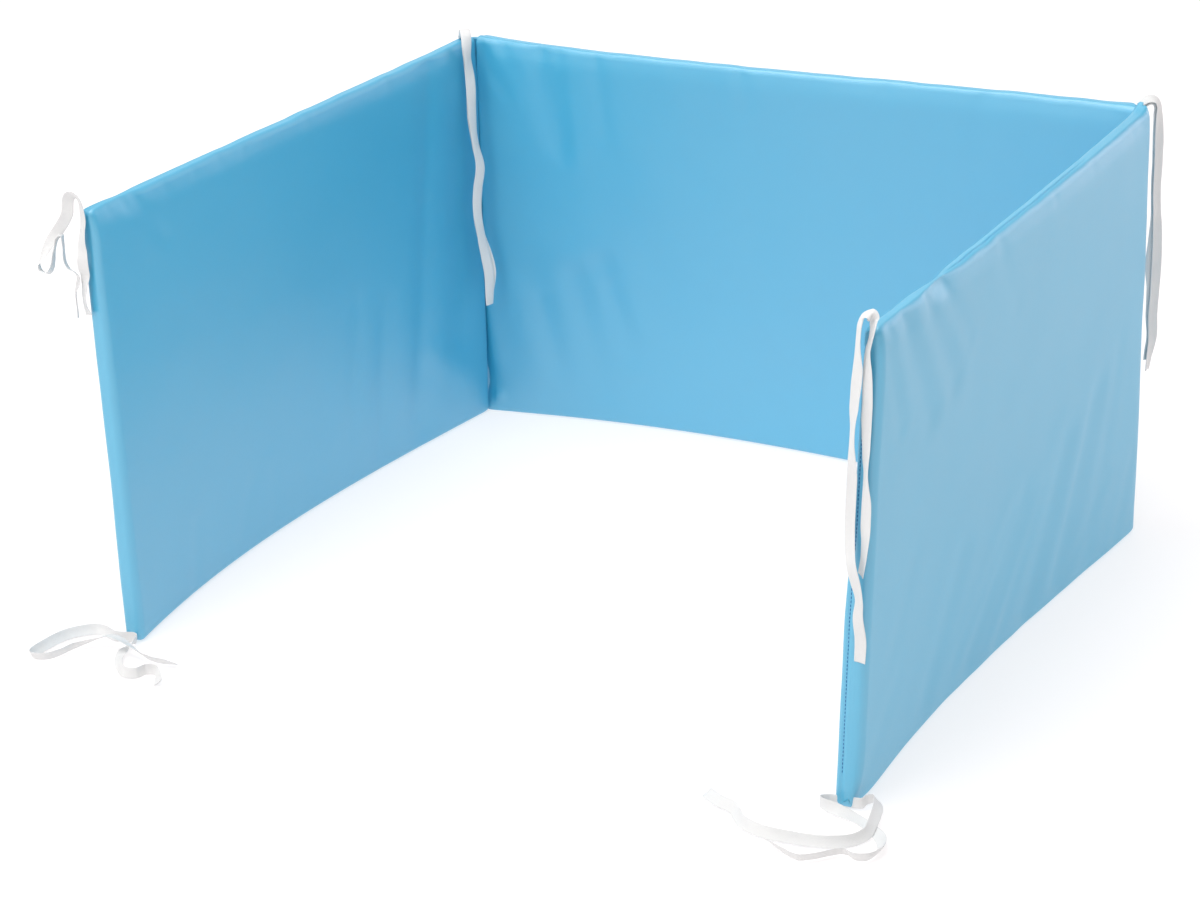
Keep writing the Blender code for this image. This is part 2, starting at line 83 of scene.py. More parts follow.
# The chord of a shallow bow is its length less 8/3 of bow squared over length.
def chord(length, bow):
    return length - 8 / 3 * bow**2 / length


# Feet of the four posts in plan: the back pad's chord lies along X, and each side's chord leaves its
# end at the fold's angle.
def postFeet():
    left, right = (math.radians(angle) for angle in bumper["foldAngles"])
    leftRun = chord(bumper["sideLength"], pads["leftPad"]["footBow"])
    backRun = chord(bumper["backLength"], pads["backPad"]["footBow"])
    rightRun = chord(bumper["sideLength"], pads["rightPad"]["footBow"])
    shift = np.array(bumper["middle"])
    corner = np.array((backRun, 0.0))
    return {
        "leftFold": -shift,
        "rightFold": corner - shift,
        "leftEnd": leftRun * np.array((math.cos(left), -math.sin(left))) - shift,
        "rightEnd": corner + rightRun * np.array((-math.cos(right), -math.sin(right))) - shift,
    }


feet = postFeet()


# A pad's length from fold line to fold line, or to its free end.
def padLength(name):
    return bumper["backLength"] if name == "backPad" else bumper["sideLength"]


# Middle of a pad at shares s of its length and t of its height: the straight line between its posts,
# plus bow x 4s(1-s) and skew x 10s(1-s)(s-1/2), both changing evenly from floor to top, and at a free
# end sway x sin(pi t) x (share toward that end)^3 along the pad.
def padMiddle(name, s, t):
    pad = pads[name]
    s, t = np.broadcast_arrays(np.asarray(s, float), np.asarray(t, float))
    first, second = (feet[post] + t[..., None] * np.array(leans[post]) for post in pad["posts"])
    span = second - first
    length = np.linalg.norm(span, axis=-1)[..., None]
    along = span / length
    out = np.stack([-along[..., 1], along[..., 0]], axis=-1)
    bow = pad["footBow"] + t * (pad["headBow"] - pad["footBow"])
    skew = pad["footSkew"] + t * (pad["headSkew"] - pad["footSkew"])
    offset = 4 * bow * s * (1 - s) + 10 * skew * s * (1 - s) * (s - 0.5)
    slope = 4 * bow * (1 - 2 * s) + 10 * skew * ((1 - 2 * s) * (s - 0.5) + s * (1 - s))
    slope = slope[..., None] / length
    freeFirst = pad["posts"][0].endswith("End")
    towardFree = (1 - s) ** 3 if freeFirst else s**3
    sway = pad["sway"] * np.sin(math.pi * t) * towardFree * (-1 if freeFirst else 1)
    middle = first + s[..., None] * span + offset[..., None] * out + sway[..., None] * along
    tangent = (along + slope * out) / np.sqrt(1 + slope**2)
    normal = (out - slope * along) / np.sqrt(1 + slope**2)
    return middle, tangent, normal


# Folds in the casing: face, shares of length and height at each end, half width and rise in
# millimetres (below zero, a trough).
foldColumns = ("face", "s0", "t0", "s1", "t1", "width", "rise")
folds = {
    "leftPad": (
        ("in", 0.84, 0.98, 0.80, 0.06, 18, -1.2), ("in", 0.71, 0.42, 0.69, 0.05, 16, -0.8),
        ("in", 0.93, 0.80, 0.92, 0.26, 23, -1.35), ("in", 0.84, 0.24, 0.96, 0.10, 16, 0.96),
        ("in", 0.63, 0.47, 0.61, 0.15, 12, -0.36), ("in", 0.18, 0.17, 0.17, 0.02, 9, -0.3),
        ("in", 0.34, 0.18, 0.31, 0.07, 9, -0.24), ("in", 0.40, 0.17, 0.40, 0.06, 9, -0.24),
        ("in", 0.85, 0.98, 0.82, 0.64, 8, -0.36), ("in", 0.82, 0.64, 0.79, 0.10, 9, -0.36),
        ("in", 0.09, 0.97, 0.15, 0.87, 8, -0.36), ("in", 0.70, 0.39, 0.69, 0.08, 8, -0.3),
    ),
    "backPad": (
        ("in", 0.12, 0.97, 0.14, 0.76, 15, -1.05), ("in", 0.16, 0.40, 0.19, 0.10, 15, -1.2),
        ("in", 0.20, 0.44, 0.23, 0.20, 14, -0.96), ("in", 0.06, 0.34, 0.09, 0.07, 17, 1.05),
        ("in", 0.15, 0.96, 0.15, 0.71, 9, -0.36), ("in", 0.21, 0.97, 0.22, 0.80, 9, -0.36),
        ("in", 0.10, 0.33, 0.12, 0.14, 9, -0.36), ("in", 0.02, 0.97, 0.06, 0.87, 8, -0.42),
        ("in", 0.78, 0.98, 0.77, 0.76, 11, -0.3), ("in", 0.43, 0.98, 0.44, 0.91, 8, -0.3),
        ("in", 0.21, 0.38, 0.26, 0.18, 9, -0.36), ("in", 0.64, 0.97, 0.64, 0.90, 8, -0.3),
    ),
    "rightPad": (
        ("out", 0.85, 0.95, 0.76, 0.77, 13, -1.15), ("out", 0.92, 0.95, 0.83, 0.74, 14, -1.4),
        ("out", 0.31, 0.38, 0.41, 0.04, 16, -1.35), ("out", 0.46, 0.33, 0.60, 0.06, 16, -1.35),
        ("out", 0.20, 0.44, 0.30, 0.06, 16, -1.25), ("out", 0.67, 0.34, 0.76, 0.08, 16, -1.05),
        ("out", 0.98, 0.95, 0.93, 0.77, 9, -0.6), ("out", 0.80, 0.96, 0.72, 0.84, 9, -0.55),
        ("out", 0.62, 0.95, 0.55, 0.82, 11, -0.3), ("out", 0.50, 0.33, 0.66, 0.09, 9, -0.42),
        ("out", 0.42, 0.33, 0.56, 0.05, 9, -0.42), ("out", 0.22, 0.42, 0.32, 0.06, 9, -0.36),
        ("out", 0.12, 0.51, 0.20, 0.06, 11, -0.36), ("out", 0.05, 0.20, 0.10, 0.04, 9, -0.36),
        ("out", 0.85, 0.44, 0.91, 0.27, 12, -0.36), ("out", 0.88, 0.21, 0.96, 0.09, 12, -0.36),
        ("out", 0.39, 0.33, 0.51, 0.04, 9, -0.36), ("out", 0.15, 0.20, 0.26, 0.06, 9, -0.3),
    ),
}

# Puckers at the top rim: share of length, slant of the pucker as it runs down (metres along for each
# metre down), half width, depth and reach down the face in millimetres.
puckerColumns = ("s", "slant", "width", "depth", "reach")
puckers = {
    "leftPad": ((0.035, 0.3, 4, 0.6, 12), (0.07, 0.4, 4, 0.7, 16), (0.095, 0.5, 5, 0.8, 24),
                (0.16, 0.2, 6, 0.6, 16), (0.23, 0.1, 5, 0.4, 12), (0.29, 0.2, 6, 0.5, 14),
                (0.35, -0.2, 5, 0.5, 12), (0.51, 0.1, 6, 0.4, 12), (0.73, -0.1, 6, 0.5, 14)),
    "backPad": ((0.02, 0.5, 5, 0.8, 22), (0.06, 0.2, 5, 0.5, 14), (0.12, 0.1, 5, 0.7, 20),
                (0.15, 0.0, 5, 0.5, 16), (0.21, 0.1, 5, 0.5, 16), (0.33, -0.1, 6, 0.4, 12),
                (0.43, 0.1, 5, 0.5, 14), (0.53, 0.0, 6, 0.3, 10), (0.64, 0.0, 5, 0.5, 14),
                (0.78, -0.1, 6, 0.5, 18), (0.90, 0.1, 5, 0.4, 12)),
    "rightPad": ((0.10, -0.2, 6, 0.4, 14), (0.27, -0.3, 6, 0.4, 14), (0.42, -0.3, 6, 0.5, 16),
                 (0.62, -0.5, 7, 0.6, 20), (0.80, -0.5, 5, 0.7, 22), (0.86, -0.5, 5, 0.8, 26),
                 (0.93, -0.5, 5, 0.8, 26), (0.975, -0.4, 4, 0.6, 16)),
}

puckerShape = {
    "start": 0.004,  # depth below the top from which a pucker fades
    "spread": 0.02,  # depth over which it doubles in width
}

# Hollows and bumps in the casing: face, place as shares, half width and half height in millimetres,
# slant (millimetres along for each one down) and rise.
dentColumns = ("face", "s", "t", "wide", "high", "slant", "rise")
dents = {
    "leftPad": (),
    "backPad": (("in", 0.008, 0.06, 23, 34, 0.14, -5.4), ("in", 0.005, 0.18, 8, 50, 0.04, -4.0),
                ("in", 0.022, 0.045, 6, 7, 0, 2.6)),
    "rightPad": (),
}

# Where a pad's sewn end is drawn in toward its seam: reach along at the floor and at the top, and the
# share of the thickness that is lost at the seam.
pinches = {
    ("leftPad", 1): {"footReach": 0.016, "headReach": 0.012, "share": 0.25},
    ("backPad", 0): {"footReach": 0.040, "headReach": 0.012, "share": 0.55},
    ("backPad", 1): {"footReach": 0.020, "headReach": 0.012, "share": 0.25},
    ("rightPad", 0): {"footReach": 0.016, "headReach": 0.012, "share": 0.25},
}

# Where the casing is drawn in along a pad's top rim, on top of `narrow`: share of length, half width
# along the pad and amount in metres.
headPinches = {
    "leftPad": ((0.07, 0.018, 0.002), (0.30, 0.030, 0.0008)),
    "backPad": ((0.14, 0.025, 0.0012), (0.62, 0.040, 0.0006)),
    "rightPad": ((0.815, 0.022, 0.0045), (0.93, 0.03, 0.001)),
}

# The top rim is slimmer than the pad's middle: metres lost on the outer and on the inner side, and how
# far the casing's corner is pulled up at the first and the last end.
heads = {
    "leftPad": {"narrow": {"out": 0.0010, "in": 0.0032}, "ears": (0.0, 0.002)},
    "backPad": {"narrow": {"out": 0.0010, "in": 0.0032}, "ears": (0.002, 0.001)},
    "rightPad": {"narrow": {"out": 0.0034, "in": 0.0006}, "ears": (0.011, 0.0)},
}

# The free end that is closed by hand: its seam allowance stands inward of the foam below `lipFrom`, and
# its outer corner is drawn in at the foot.
closedEnd = {
    "pad": "rightPad",
    "lip": 0.0045,
    "lipFrom": 0.27,
    "lipTo": 0.15,
    "lipReach": 0.009,
    "toe": 0.003,  # how far the foot reaches forward
    "toeReach": 0.03,
    "footTaper": 0.005,
    "footReach": 0.02,
    "grooveFrom": (0.003, 0.0008),  # inset of a ring from which it carries the groove, and blend
    "seamAt": 0.0047,  # of the stitched seam from the middle of the foam's end
    "seamPress": 0.0013,
    "seamHalf": 0.0009,
}

# How the casing lies over the foam, in metres where nothing else is said.
padFinish = {
    "stations": 216,  # sections along a pad
    "faceSteps": 140,  # rows up a face
    "roundStep": 7.5,  # degrees between rows on a rim's round
    "endSwell": 0.0012,  # a free end's own crown
    "foldInset": 0.0095,  # the casing reaches a little past the foam toward the fold line
    "foldRound": 0.0007,  # inner upright edge beside a fold, where the casing is drawn tight
    "cornerGap": 0.0002,  # between two pads' inner faces where they meet at a fold
    "hollowReach": 0.003,  # of the casing toward the fold line where the corner is hollow
    "cornerBlend": 0.02,  # length of the inner side over which it is fitted to the corner
    "hollowAt": 0.011,  # share of the length where a corner's hollow is measured
    "hollowFull": 0.0035,  # depth from which the casing reaches all the way
    "narrowReach": 0.012,  # how far below the top the rim starts to slim
    "narrowFade": 0.025,  # length beside a sewn end over which the slimming comes in
    "earReach": 0.014,
    "unevenness": 0.00028,  # how far the foam's faces wander from flat
    "rimUnevenness": 0.00045,
    "rimWave": 0.022,  # between the rim's ups and downs
    "closingRings": 7,
    "ringGap": 0.0005,  # between the last closing ring and the round
    "tipGap": 0.0003,  # between the two sides of the first closing ring
    "flatPoint": 0.0002,  # half widths below this are the seam of the two sides and stay put
    "wholeSection": 0.001,  # a section that is inset by less than this carries the rim's ups and downs
    "sideShift": 0.4,  # so that the two faces wander differently
}
topSeam = {  # the closing seam along the right pad's top
    "pad": "rightPad",
    "from": (0.26, 0.10),  # share of the length where it starts, and over which it deepens
    "to": (0.79, 0.06),
    "depth": 0.0010,
    "width": 0.0006,
    "lip": 0.0003,
    "lipAt": 0.0018,
    "lipWidth": 0.0008,
    "wander": 0.0003,
    "wanderStep": 0.03,
}


# A random value at each step of `spacing`, joined by smooth curves (3v^2 - 2v^3 between neighbours).
def softNoise(distance, spacing, seed):
    values = np.random.default_rng(seed).uniform(-1, 1, 512)
    place = distance / spacing + 7
    i = np.floor(place).astype(int)
    v = place - i
    v = v * v * (3 - 2 * v)
    return values[i % 512] * (1 - v) + values[(i + 1) % 512] * v


# A sum of plane waves in fixed random directions, 45 to 240 mm long, scaled to a mean square of one.
def quietWaves(x, z, seed):
    draw = np.random.default_rng(seed)
    total = 0 * x
    power = 0.0
    for wave in range(16):
        length = math.exp(draw.uniform(math.log(0.045), math.log(0.24)))
        angle, phase = draw.uniform(0, 2 * math.pi, 2)
        weight = length**1.1
        run = (x * math.cos(angle) + z * math.sin(angle)) * 2 * math.pi / length
        total = total + weight * np.sin(run + phase)
        power += weight**2 / 2
    return total / math.sqrt(power)


# Each fold is rise x (exp(-(d/w)^2) - 0.4 exp(-((d-1.7w)/w)^2)), d being the distance to its line, and
# fades off round either end of the line.
def foldRelief(name, face, s, t):
    length = padLength(name)
    relief = np.zeros(np.broadcast(s, t).shape)
    point = np.stack(np.broadcast_arrays(s * length, t * bumper["height"]), axis=-1)
    for row in folds[name]:
        fold = dict(zip(foldColumns, row))
        if fold["face"] != face:
            continue
        start = np.array((fold["s0"] * length, fold["t0"] * bumper["height"]))
        line = np.array((fold["s1"] * length, fold["t1"] * bumper["height"])) - start
        place = (point - start) @ line / (line @ line)
        share = np.clip(place, 0, 1)
        distance = np.linalg.norm(point - start - share[..., None] * line, axis=-1)
        near = distance / (fold["width"] / 1000)
        profile = np.exp(-(near**2)) - 0.4 * np.exp(-((near - 1.7) ** 2))
        relief += fold["rise"] / 1000 * profile
    return relief


# Each pucker is a notch exp(-(d/w)^2) across and exp(-(depth below the top / reach)^2) down, and w
# grows with that depth.
def puckerRelief(name, s, t):
    length = padLength(name)
    below = np.maximum((1 - t) * bumper["height"] - puckerShape["start"], 0)
    relief = np.zeros(np.broadcast(s, t).shape)
    for row in puckers[name]:
        pucker = dict(zip(puckerColumns, row))
        across = s * length - pucker["s"] * length - pucker["slant"] * below
        across = across / (pucker["width"] / 1000 * (1 + below / puckerShape["spread"]))
        down = below / (pucker["reach"] / 1000)
        relief -= pucker["depth"] / 1000 * np.exp(-(across**2) - down**2)
    return relief


# Hollows and bumps beside a fold: rise x exp(-(across/wide)^2 - (up/high)^2) about a point.
def dentRelief(name, face, s, t):
    relief = np.zeros(np.broadcast(s, t).shape)
    for row in dents[name]:
        dent = dict(zip(dentColumns, row))
        if dent["face"] != face:
            continue
        up = (t - dent["t"]) * bumper["height"] * 1000
        across = (s - dent["s"]) * padLength(name) * 1000 + dent["slant"] * up
        relief += dent["rise"] / 1000 * np.exp(-((across / dent["wide"]) ** 2)
                                               - (up / dent["high"]) ** 2)
    return relief


# The closing seam along the right pad's top: a slit of depth exp(-(x/w)^2) with a lip of the same form
# beside it, fading out evenly at both ends.
def topSeamRelief(s, along, across):
    first, deepens = topSeam["from"]
    last, fades = topSeam["to"]
    fade = np.clip((s - first) / deepens, 0, 1) * np.clip((last - s) / fades, 0, 1)
    wander = topSeam["wander"] * softNoise(along, topSeam["wanderStep"], 91)
    slit = np.exp(-(((across - wander) / topSeam["width"]) ** 2))
    lip = np.exp(-(((across - topSeam["lipAt"]) / topSeam["lipWidth"]) ** 2))
    return fade * (topSeam["lip"] * lip - topSeam["depth"] * slit)


# The share of the outer half's thickness left near a sewn end falls as a square over the pinch's reach.
# The inner side is drawn tight into the corner and keeps its thickness.
def pinchOf(name, sign, along, start, end, t):
    kept = np.ones(np.broadcast(along, t).shape)
    for (owner, which), pinch in pinches.items():
        if owner != name or sign < 0:
            continue
        away = along - start if which == 0 else end - along
        reach = pinch["footReach"] + t * (pinch["headReach"] - pinch["footReach"])
        near = np.clip(1 - away / reach, 0, 1)
        kept = kept * (1 - pinch["share"] * near**2)
    return kept


# Two pads' inner faces meet h tan(turn / 2) from the fold line, h being half the thickness and turn the
# angle from the first pad's direction to the second's.
def cornerReach(post, t):
    before, after = [name for name in pads if post in pads[name]["posts"]]
    first = padMiddle(before, 1.0, t)[1]
    second = padMiddle(after, 0.0, t)[1]
    cosine = (first * second).sum(axis=-1)
    return bumper["thickness"] / 2 * np.sqrt((1 - cosine) / (1 + cosine)) + padFinish["cornerGap"]


# Places along a pad's inner side, moved as the square of the nearness to its end so that they end where
# the corner is, or past it, near the fold line, where dents hollow the corner.
def innerAlong(name, along, start, end, t, flat):
    first, last = pads[name]["posts"]
    blend = padFinish["cornerBlend"]
    if not first.endswith("End"):
        near = np.clip(1 - (along - start) / blend, 0, 1) ** 2
        dent = dentRelief(name, "in", padFinish["hollowAt"], t)
        hollow = np.clip(-dent / padFinish["hollowFull"], 0, 1)
        hollow = hollow * hollow * (3 - 2 * hollow)
        reach = cornerReach(first, t)
        reach = reach + hollow * (padFinish["hollowReach"] - reach)
        along = along - near * flat * (start - reach)
    if not last.endswith("End"):
        near = np.clip(1 - (end - along) / blend, 0, 1) ** 2
        along = along + near * flat * (padLength(name) - cornerReach(last, t) - end)
    return along


# How much a side is slimmed at its top rim: narrow x exp(-(depth below the top / reach)^2), with a
# pinch exp(-((place along - its middle) / width)^2) here and there. It fades out evenly toward a sewn
# end.
def headNarrow(name, side, along, z):
    below = (bumper["height"] - z) / padFinish["narrowReach"]
    amount = heads[name]["narrow"][side] + 0 * along
    for place, width, extra in headPinches[name]:
        gap = (along - place * padLength(name)) / width
        amount = amount + extra * np.exp(-(gap**2))
    for post, away in zip(pads[name]["posts"], (along, padLength(name) - along)):
        if not post.endswith("End"):
            amount = amount * np.clip((away - bumper["foldInset"]) / padFinish["narrowFade"], 0, 1)
    return amount * np.exp(-(below**2))


# The casing's corners stand a little proud at the top of a sewn end: ear x exp(-(distance / reach)^2).
def earRise(name, along):
    reach = padFinish["earReach"]
    rise = 0.0
    for ear, away in zip(heads[name]["ears"], (along, padLength(name) - along)):
        rise = rise + ear * np.exp(-((away / reach) ** 2))
    return rise


# The closed end's own shape, as shifts across (outward) and along: a toe at the foot, on the inner side
# the lip exp(-(distance / reach)^2) that fades out upward and a groove exp(-((half - seamAt) /
# seamHalf)^2) pressed into the end face, and on the outer side a taper of the same form at the foot.
def closedEndShape(side, half, inset, away, z):
    low = np.clip((closedEnd["lipFrom"] - z) / (closedEnd["lipFrom"] - closedEnd["lipTo"]), 0, 1)
    low = low * low * (3 - 2 * low)
    toe = closedEnd["toe"] * np.exp(-((z / closedEnd["toeReach"]) ** 2))
    toe = toe * np.exp(-((away / closedEnd["toeReach"]) ** 2))
    wide = half / (bumper["thickness"] / 2)
    if side == "in":
        across = closedEnd["lip"] * low * np.exp(-((away / closedEnd["lipReach"]) ** 2)) * wide
        grooveFrom, blend = closedEnd["grooveFrom"]
        onEnd = np.clip((inset - grooveFrom) / blend, 0, 1)
        groove = np.exp(-(((half - closedEnd["seamAt"]) / closedEnd["seamHalf"]) ** 2))
        return across, toe - closedEnd["seamPress"] * groove * onEnd
    foot = np.exp(-((z / closedEnd["footReach"]) ** 2) - (away / closedEnd["footReach"]) ** 2)
    return -closedEnd["footTaper"] * foot * wide, toe


# Sections at a pad's end: some that close its end face ring by ring, then some that follow a quarter
# round, as reach from the end and inset from the rim on the outer and inner side. A free end's face
# swells out of its plane, and beside a fold the inner side stays nearly square.
def endStations(free):
    rim = bumper["rimRound"]
    halfPad = bumper["thickness"] / 2
    tight = rim if free else padFinish["foldRound"]
    angles = np.radians(np.arange(0, 90, padFinish["roundStep"]))
    tip = halfPad - padFinish["tipGap"]
    closing, closingIn = (np.linspace(tip, around + padFinish["ringGap"], padFinish["closingRings"])
                          for around in (rim, tight))
    inset = np.concatenate([closing, rim * (1 - np.sin(angles))])
    insetIn = np.concatenate([closingIn, tight * (1 - np.sin(angles))])
    reach = np.concatenate([0 * closing, rim * (1 - np.cos(angles))])
    swell = padFinish["endSwell"] * free * (1 - ((halfPad - inset) / halfPad) ** 2)
    return reach - swell, inset, insetIn


# All sections of a pad: its two ends and an even run between them.
def padStations(start, end, free):
    first, firstOut, firstIn = endStations(free[0])
    last, lastOut, lastIn = endStations(free[1])
    rim = bumper["rimRound"]
    inner = np.linspace(start + rim, end - rim, padFinish["stations"])
    along = np.concatenate([start + first, inner, (end - last)[::-1]])
    insets = [np.concatenate([a, np.zeros(inner.size), b[::-1]])
              for a, b in ((firstOut, lastOut), (firstIn, lastIn))]
    return along, insets


# One ring of a pad: a column of points from the middle of the underside, round the rim, up the outer
# face and over to the middle of the top, and the same down the inner face. Each point is a share of the
# flat run under or over the foam, a turn round the rim and a share of the straight face.
def padSurface(name):
    pad = pads[name]
    length = padLength(name)
    height = bumper["height"]
    rim = bumper["rimRound"]
    free = [post.endswith("End") for post in pad["posts"]]
    start = 0.0 if free[0] else padFinish["foldInset"]
    end = length - (0.0 if free[1] else padFinish["foldInset"])
    stations, insets = padStations(start, end, free)
    stations = stations[:, None]
    turns = np.radians(np.arange(0, 90, padFinish["roundStep"]))
    face = np.linspace(0, 1, padFinish["faceSteps"] + 1)
    under = np.linspace(0, 1, 5)[:-1]
    over = np.array((1.0, 0.85, 0.7, 0.55, 0.42, 0.3, 0.2, 0.1, 0.0))
    share = np.concatenate([0 * under, 0 * turns, face, 1 + 0 * turns[1:], 1 + 0 * over])
    turn = np.concatenate([0 * under - math.pi / 2, -math.pi / 2 + turns, 0 * face, turns[1:],
                           0 * over + math.pi / 2])
    flat = np.concatenate([under, 1 + 0 * turns, 1 + 0 * face, 1 + 0 * turns[1:], over])
    topward = np.where(turn > 0, np.sin(turn) ** 2, 0.0)
    seed = pad["seed"]
    columns = []
    for side, sign, inset in (("out", 1, insets[0]), ("in", -1, insets[1])):
        inset = inset[:, None]
        radius = np.maximum(rim - inset, 0)
        core = bumper["thickness"] / 2 - np.maximum(inset, rim)
        low, high = inset + radius, height - inset - radius
        z = low + share * (high - low) + radius * np.sin(turn)
        half = core * flat + radius * np.cos(turn)
        t = z / height
        along = stations if sign > 0 else innerAlong(name, stations, start, end, t, flat)
        s = np.clip(along / length, 0, 1)
        beyond = along - s * length  # past a free end, where its face swells
        kept = pinchOf(name, sign, along, start, end, t)
        crown = bumper["crown"] * (1 - (2 * s - 1) ** 4) * (1 - (2 * t - 1) ** 4)
        middle, tangent, normal = padMiddle(name, s, t)
        slim = headNarrow(name, side, along, z) * half / (bumper["thickness"] / 2)
        ripple = padFinish["rimUnevenness"] * softNoise(stations, padFinish["rimWave"], seed)
        z = z + topward * ripple * (inset < padFinish["wholeSection"])
        z = z + topward * earRise(name, along)
        if name == topSeam["pad"]:
            z = z + (turn >= math.pi / 2) * topSeamRelief(s, along, core * flat)
        wander = padFinish["unevenness"] * quietWaves(along - padFinish["sideShift"] * sign, z, seed)
        onFace = np.cos(turn) ** 2
        relief = (foldRelief(name, side, s, t) + wander) * onFace
        relief = relief + dentRelief(name, side, s, t) * np.maximum(np.cos(turn), 0.0)
        relief = relief + puckerRelief(name, s, t) * np.maximum(np.cos(turn), 0.0)
        depth = half * kept + (crown + relief - slim) * (half > padFinish["flatPoint"])
        if name == closedEnd["pad"]:
            outward, forward = closedEndShape(side, half, inset, length - along, z)
            depth = depth + outward
            beyond = beyond + forward
        plan = middle + sign * depth[..., None] * normal + beyond[..., None] * tangent
        columns.append(np.concatenate([plan, z[..., None]], axis=-1))
    outer, inner = columns
    return np.concatenate([outer, inner[:, -2:0:-1]], axis=1)


# Corners of every four-sided face of a grid of closed rings, in order round each ring.
def ringFaces(sections, ring):
    i, j = np.meshgrid(np.arange(sections - 1), np.arange(ring), indexing="ij")
    k = (j + 1) % ring
    quads = np.stack([i * ring + j, i * ring + k, (i + 1) * ring + k, (i + 1) * ring + j], axis=-1)
    corners = np.stack([np.stack([i, j], -1), np.stack([i, j + 1], -1),
                        np.stack([i + 1, j + 1], -1), np.stack([i + 1, j], -1)], axis=2)
    return quads.reshape(-1, 4), corners.reshape(-1, 2)


# Faces that close the first and last ring by joining the points that mirror each other.
def endFaces(sections, ring):
    half = ring // 2
    j = np.arange(1, half - 1)
    mirrored = ring - j
    first = np.stack([mirrored, mirrored - 1, j + 1, j], axis=-1)
    last = np.stack([j, j + 1, mirrored - 1, mirrored], axis=-1) + (sections - 1) * ring
    base = (sections - 1) * ring
    tips = [(ring - 1, 1, 0), (half, half - 1, half + 1),
            (base, base + 1, base + ring - 1), (base + half + 1, base + half - 1, base + half)]
    return [tuple(q) for q in np.concatenate([first, last]).tolist()] + tips


# A mesh of closed rings with its own map in metres: u along the piece and v round it.
def addRings(name, rings, runs, rounds, material):
    sections, ring = rings.shape[:2]
    quads, corners = ringFaces(sections, ring)
    ends = endFaces(sections, ring)
    mesh = bpy.data.meshes.new(name)
    mesh.from_pydata(rings.reshape(-1, 3).tolist(), [], quads.tolist() + ends)
    uv = mesh.uv_layers.new(name="UVMap")
    flatMap = np.zeros((len(mesh.loops), 2), np.float32)
    flatMap[: len(corners), 0] = runs[corners[:, 0]]
    flatMap[: len(corners), 1] = rounds[corners[:, 1]]
    position = np.zeros(len(mesh.loops), np.int32)
    mesh.loops.foreach_get("vertex_index", position)
    rest = position[len(corners):]
    flatMap[len(corners):, 0] = runs[rest // ring]
    flatMap[len(corners):, 1] = rounds[rest % ring]
    uv.data.foreach_set("uv", flatMap.ravel())
    mesh.materials.append(material)
    mesh.shade_smooth()
    mesh.validate()
    mesh.update()
    piece = bpy.data.objects.new(name, mesh)
    bpy.context.scene.collection.objects.link(piece)
    return piece


# Distances along the rings' mean line and round the middle ring.
def ringLengths(rings):
    centre = rings.mean(axis=1)
    runs = np.concatenate([[0], np.cumsum(np.linalg.norm(np.diff(centre, axis=0), axis=1))])
    middleRing = rings[len(rings) // 2]
    loop = np.concatenate([middleRing, middleRing[:1]])
    rounds = np.concatenate([[0], np.cumsum(np.linalg.norm(np.diff(loop, axis=0), axis=1))])
    return runs, rounds


webFinish = {
    "thickness": 0.0016,  # both layers of casing, sewn flat
    "topTrim": 0.0015,
    "footTrim": 0.0006,
    "seatGap": 0.0003,
    "planSteps": 16,
    "heightSteps": 150,
    "pucker": 0.0005,
    "puckerStep": 0.011,
}
webs = {
    "leftFoldWeb": {"node": "left_fold_web", "pads": ("leftPad", "backPad")},
    "rightFoldWeb": {"node": "right_fold_web", "pads": ("backPad", "rightPad")},
}


# The casing sewn flat between two pads: (1-u)^2 A + 2u(1-u) F + u^2 B between the sewn ends A and B,
# pulled toward the fold line F, with small puckers of 4u(1-u) along it.
def webSurface(name):
    first, second = webs[name]["pads"]
    post = pads[first]["posts"][1]
    z = np.linspace(webFinish["footTrim"], bumper["height"] - webFinish["topTrim"],
                    webFinish["heightSteps"] + 1)
    t = z / bumper["height"]
    reach = bumper["foldInset"] - webFinish["seatGap"]
    start = padMiddle(first, 1 - reach / padLength(first), t)[0]
    end = padMiddle(second, reach / padLength(second), t)[0]
    fold = feet[post] + t[:, None] * np.array(leans[post])
    u = np.linspace(0, 1, webFinish["planSteps"] + 1)[:, None, None]
    plan = (1 - u) ** 2 * start + 2 * u * (1 - u) * fold + u**2 * end
    run = unit(2 * (1 - u) * (fold - start) + 2 * u * (end - fold))
    side = np.stack([-run[..., 1], run[..., 0]], axis=-1)
    ripple = webFinish["pucker"] * softNoise(z, webFinish["puckerStep"], 5)[None, :, None]
    ripple = ripple * (4 * u * (1 - u))
    plan = plan + side * ripple
    thick = webFinish["thickness"] / 2
    level = np.broadcast_to(z[:, None], plan.shape[:2] + (1,))
    outer, inner = (np.concatenate([plan + side * shift, level], axis=-1) for shift in (thick, -thick))
    foot, head = (outer[:, :1] + inner[:, :1]) / 2, (outer[:, -1:] + inner[:, -1:]) / 2
    return np.concatenate([foot, outer, head, inner[:, ::-1]], axis=1)


tape = {
    "width": 0.010,
    "thickness": 0.0008,
    "cup": 0.0006,  # how far the edges curl back
    "seatGap": 0.0003,
    "solidThickness": 0.001,  # of the solid that a tie stands for
    "step": 0.0013,  # between sections along a straight run
    "turnStep": 7,  # degrees of bend and twist to a section
    "ripple": 0.0003,
    "rippleSteps": (0.011, 0.013),  # along the two edges
}

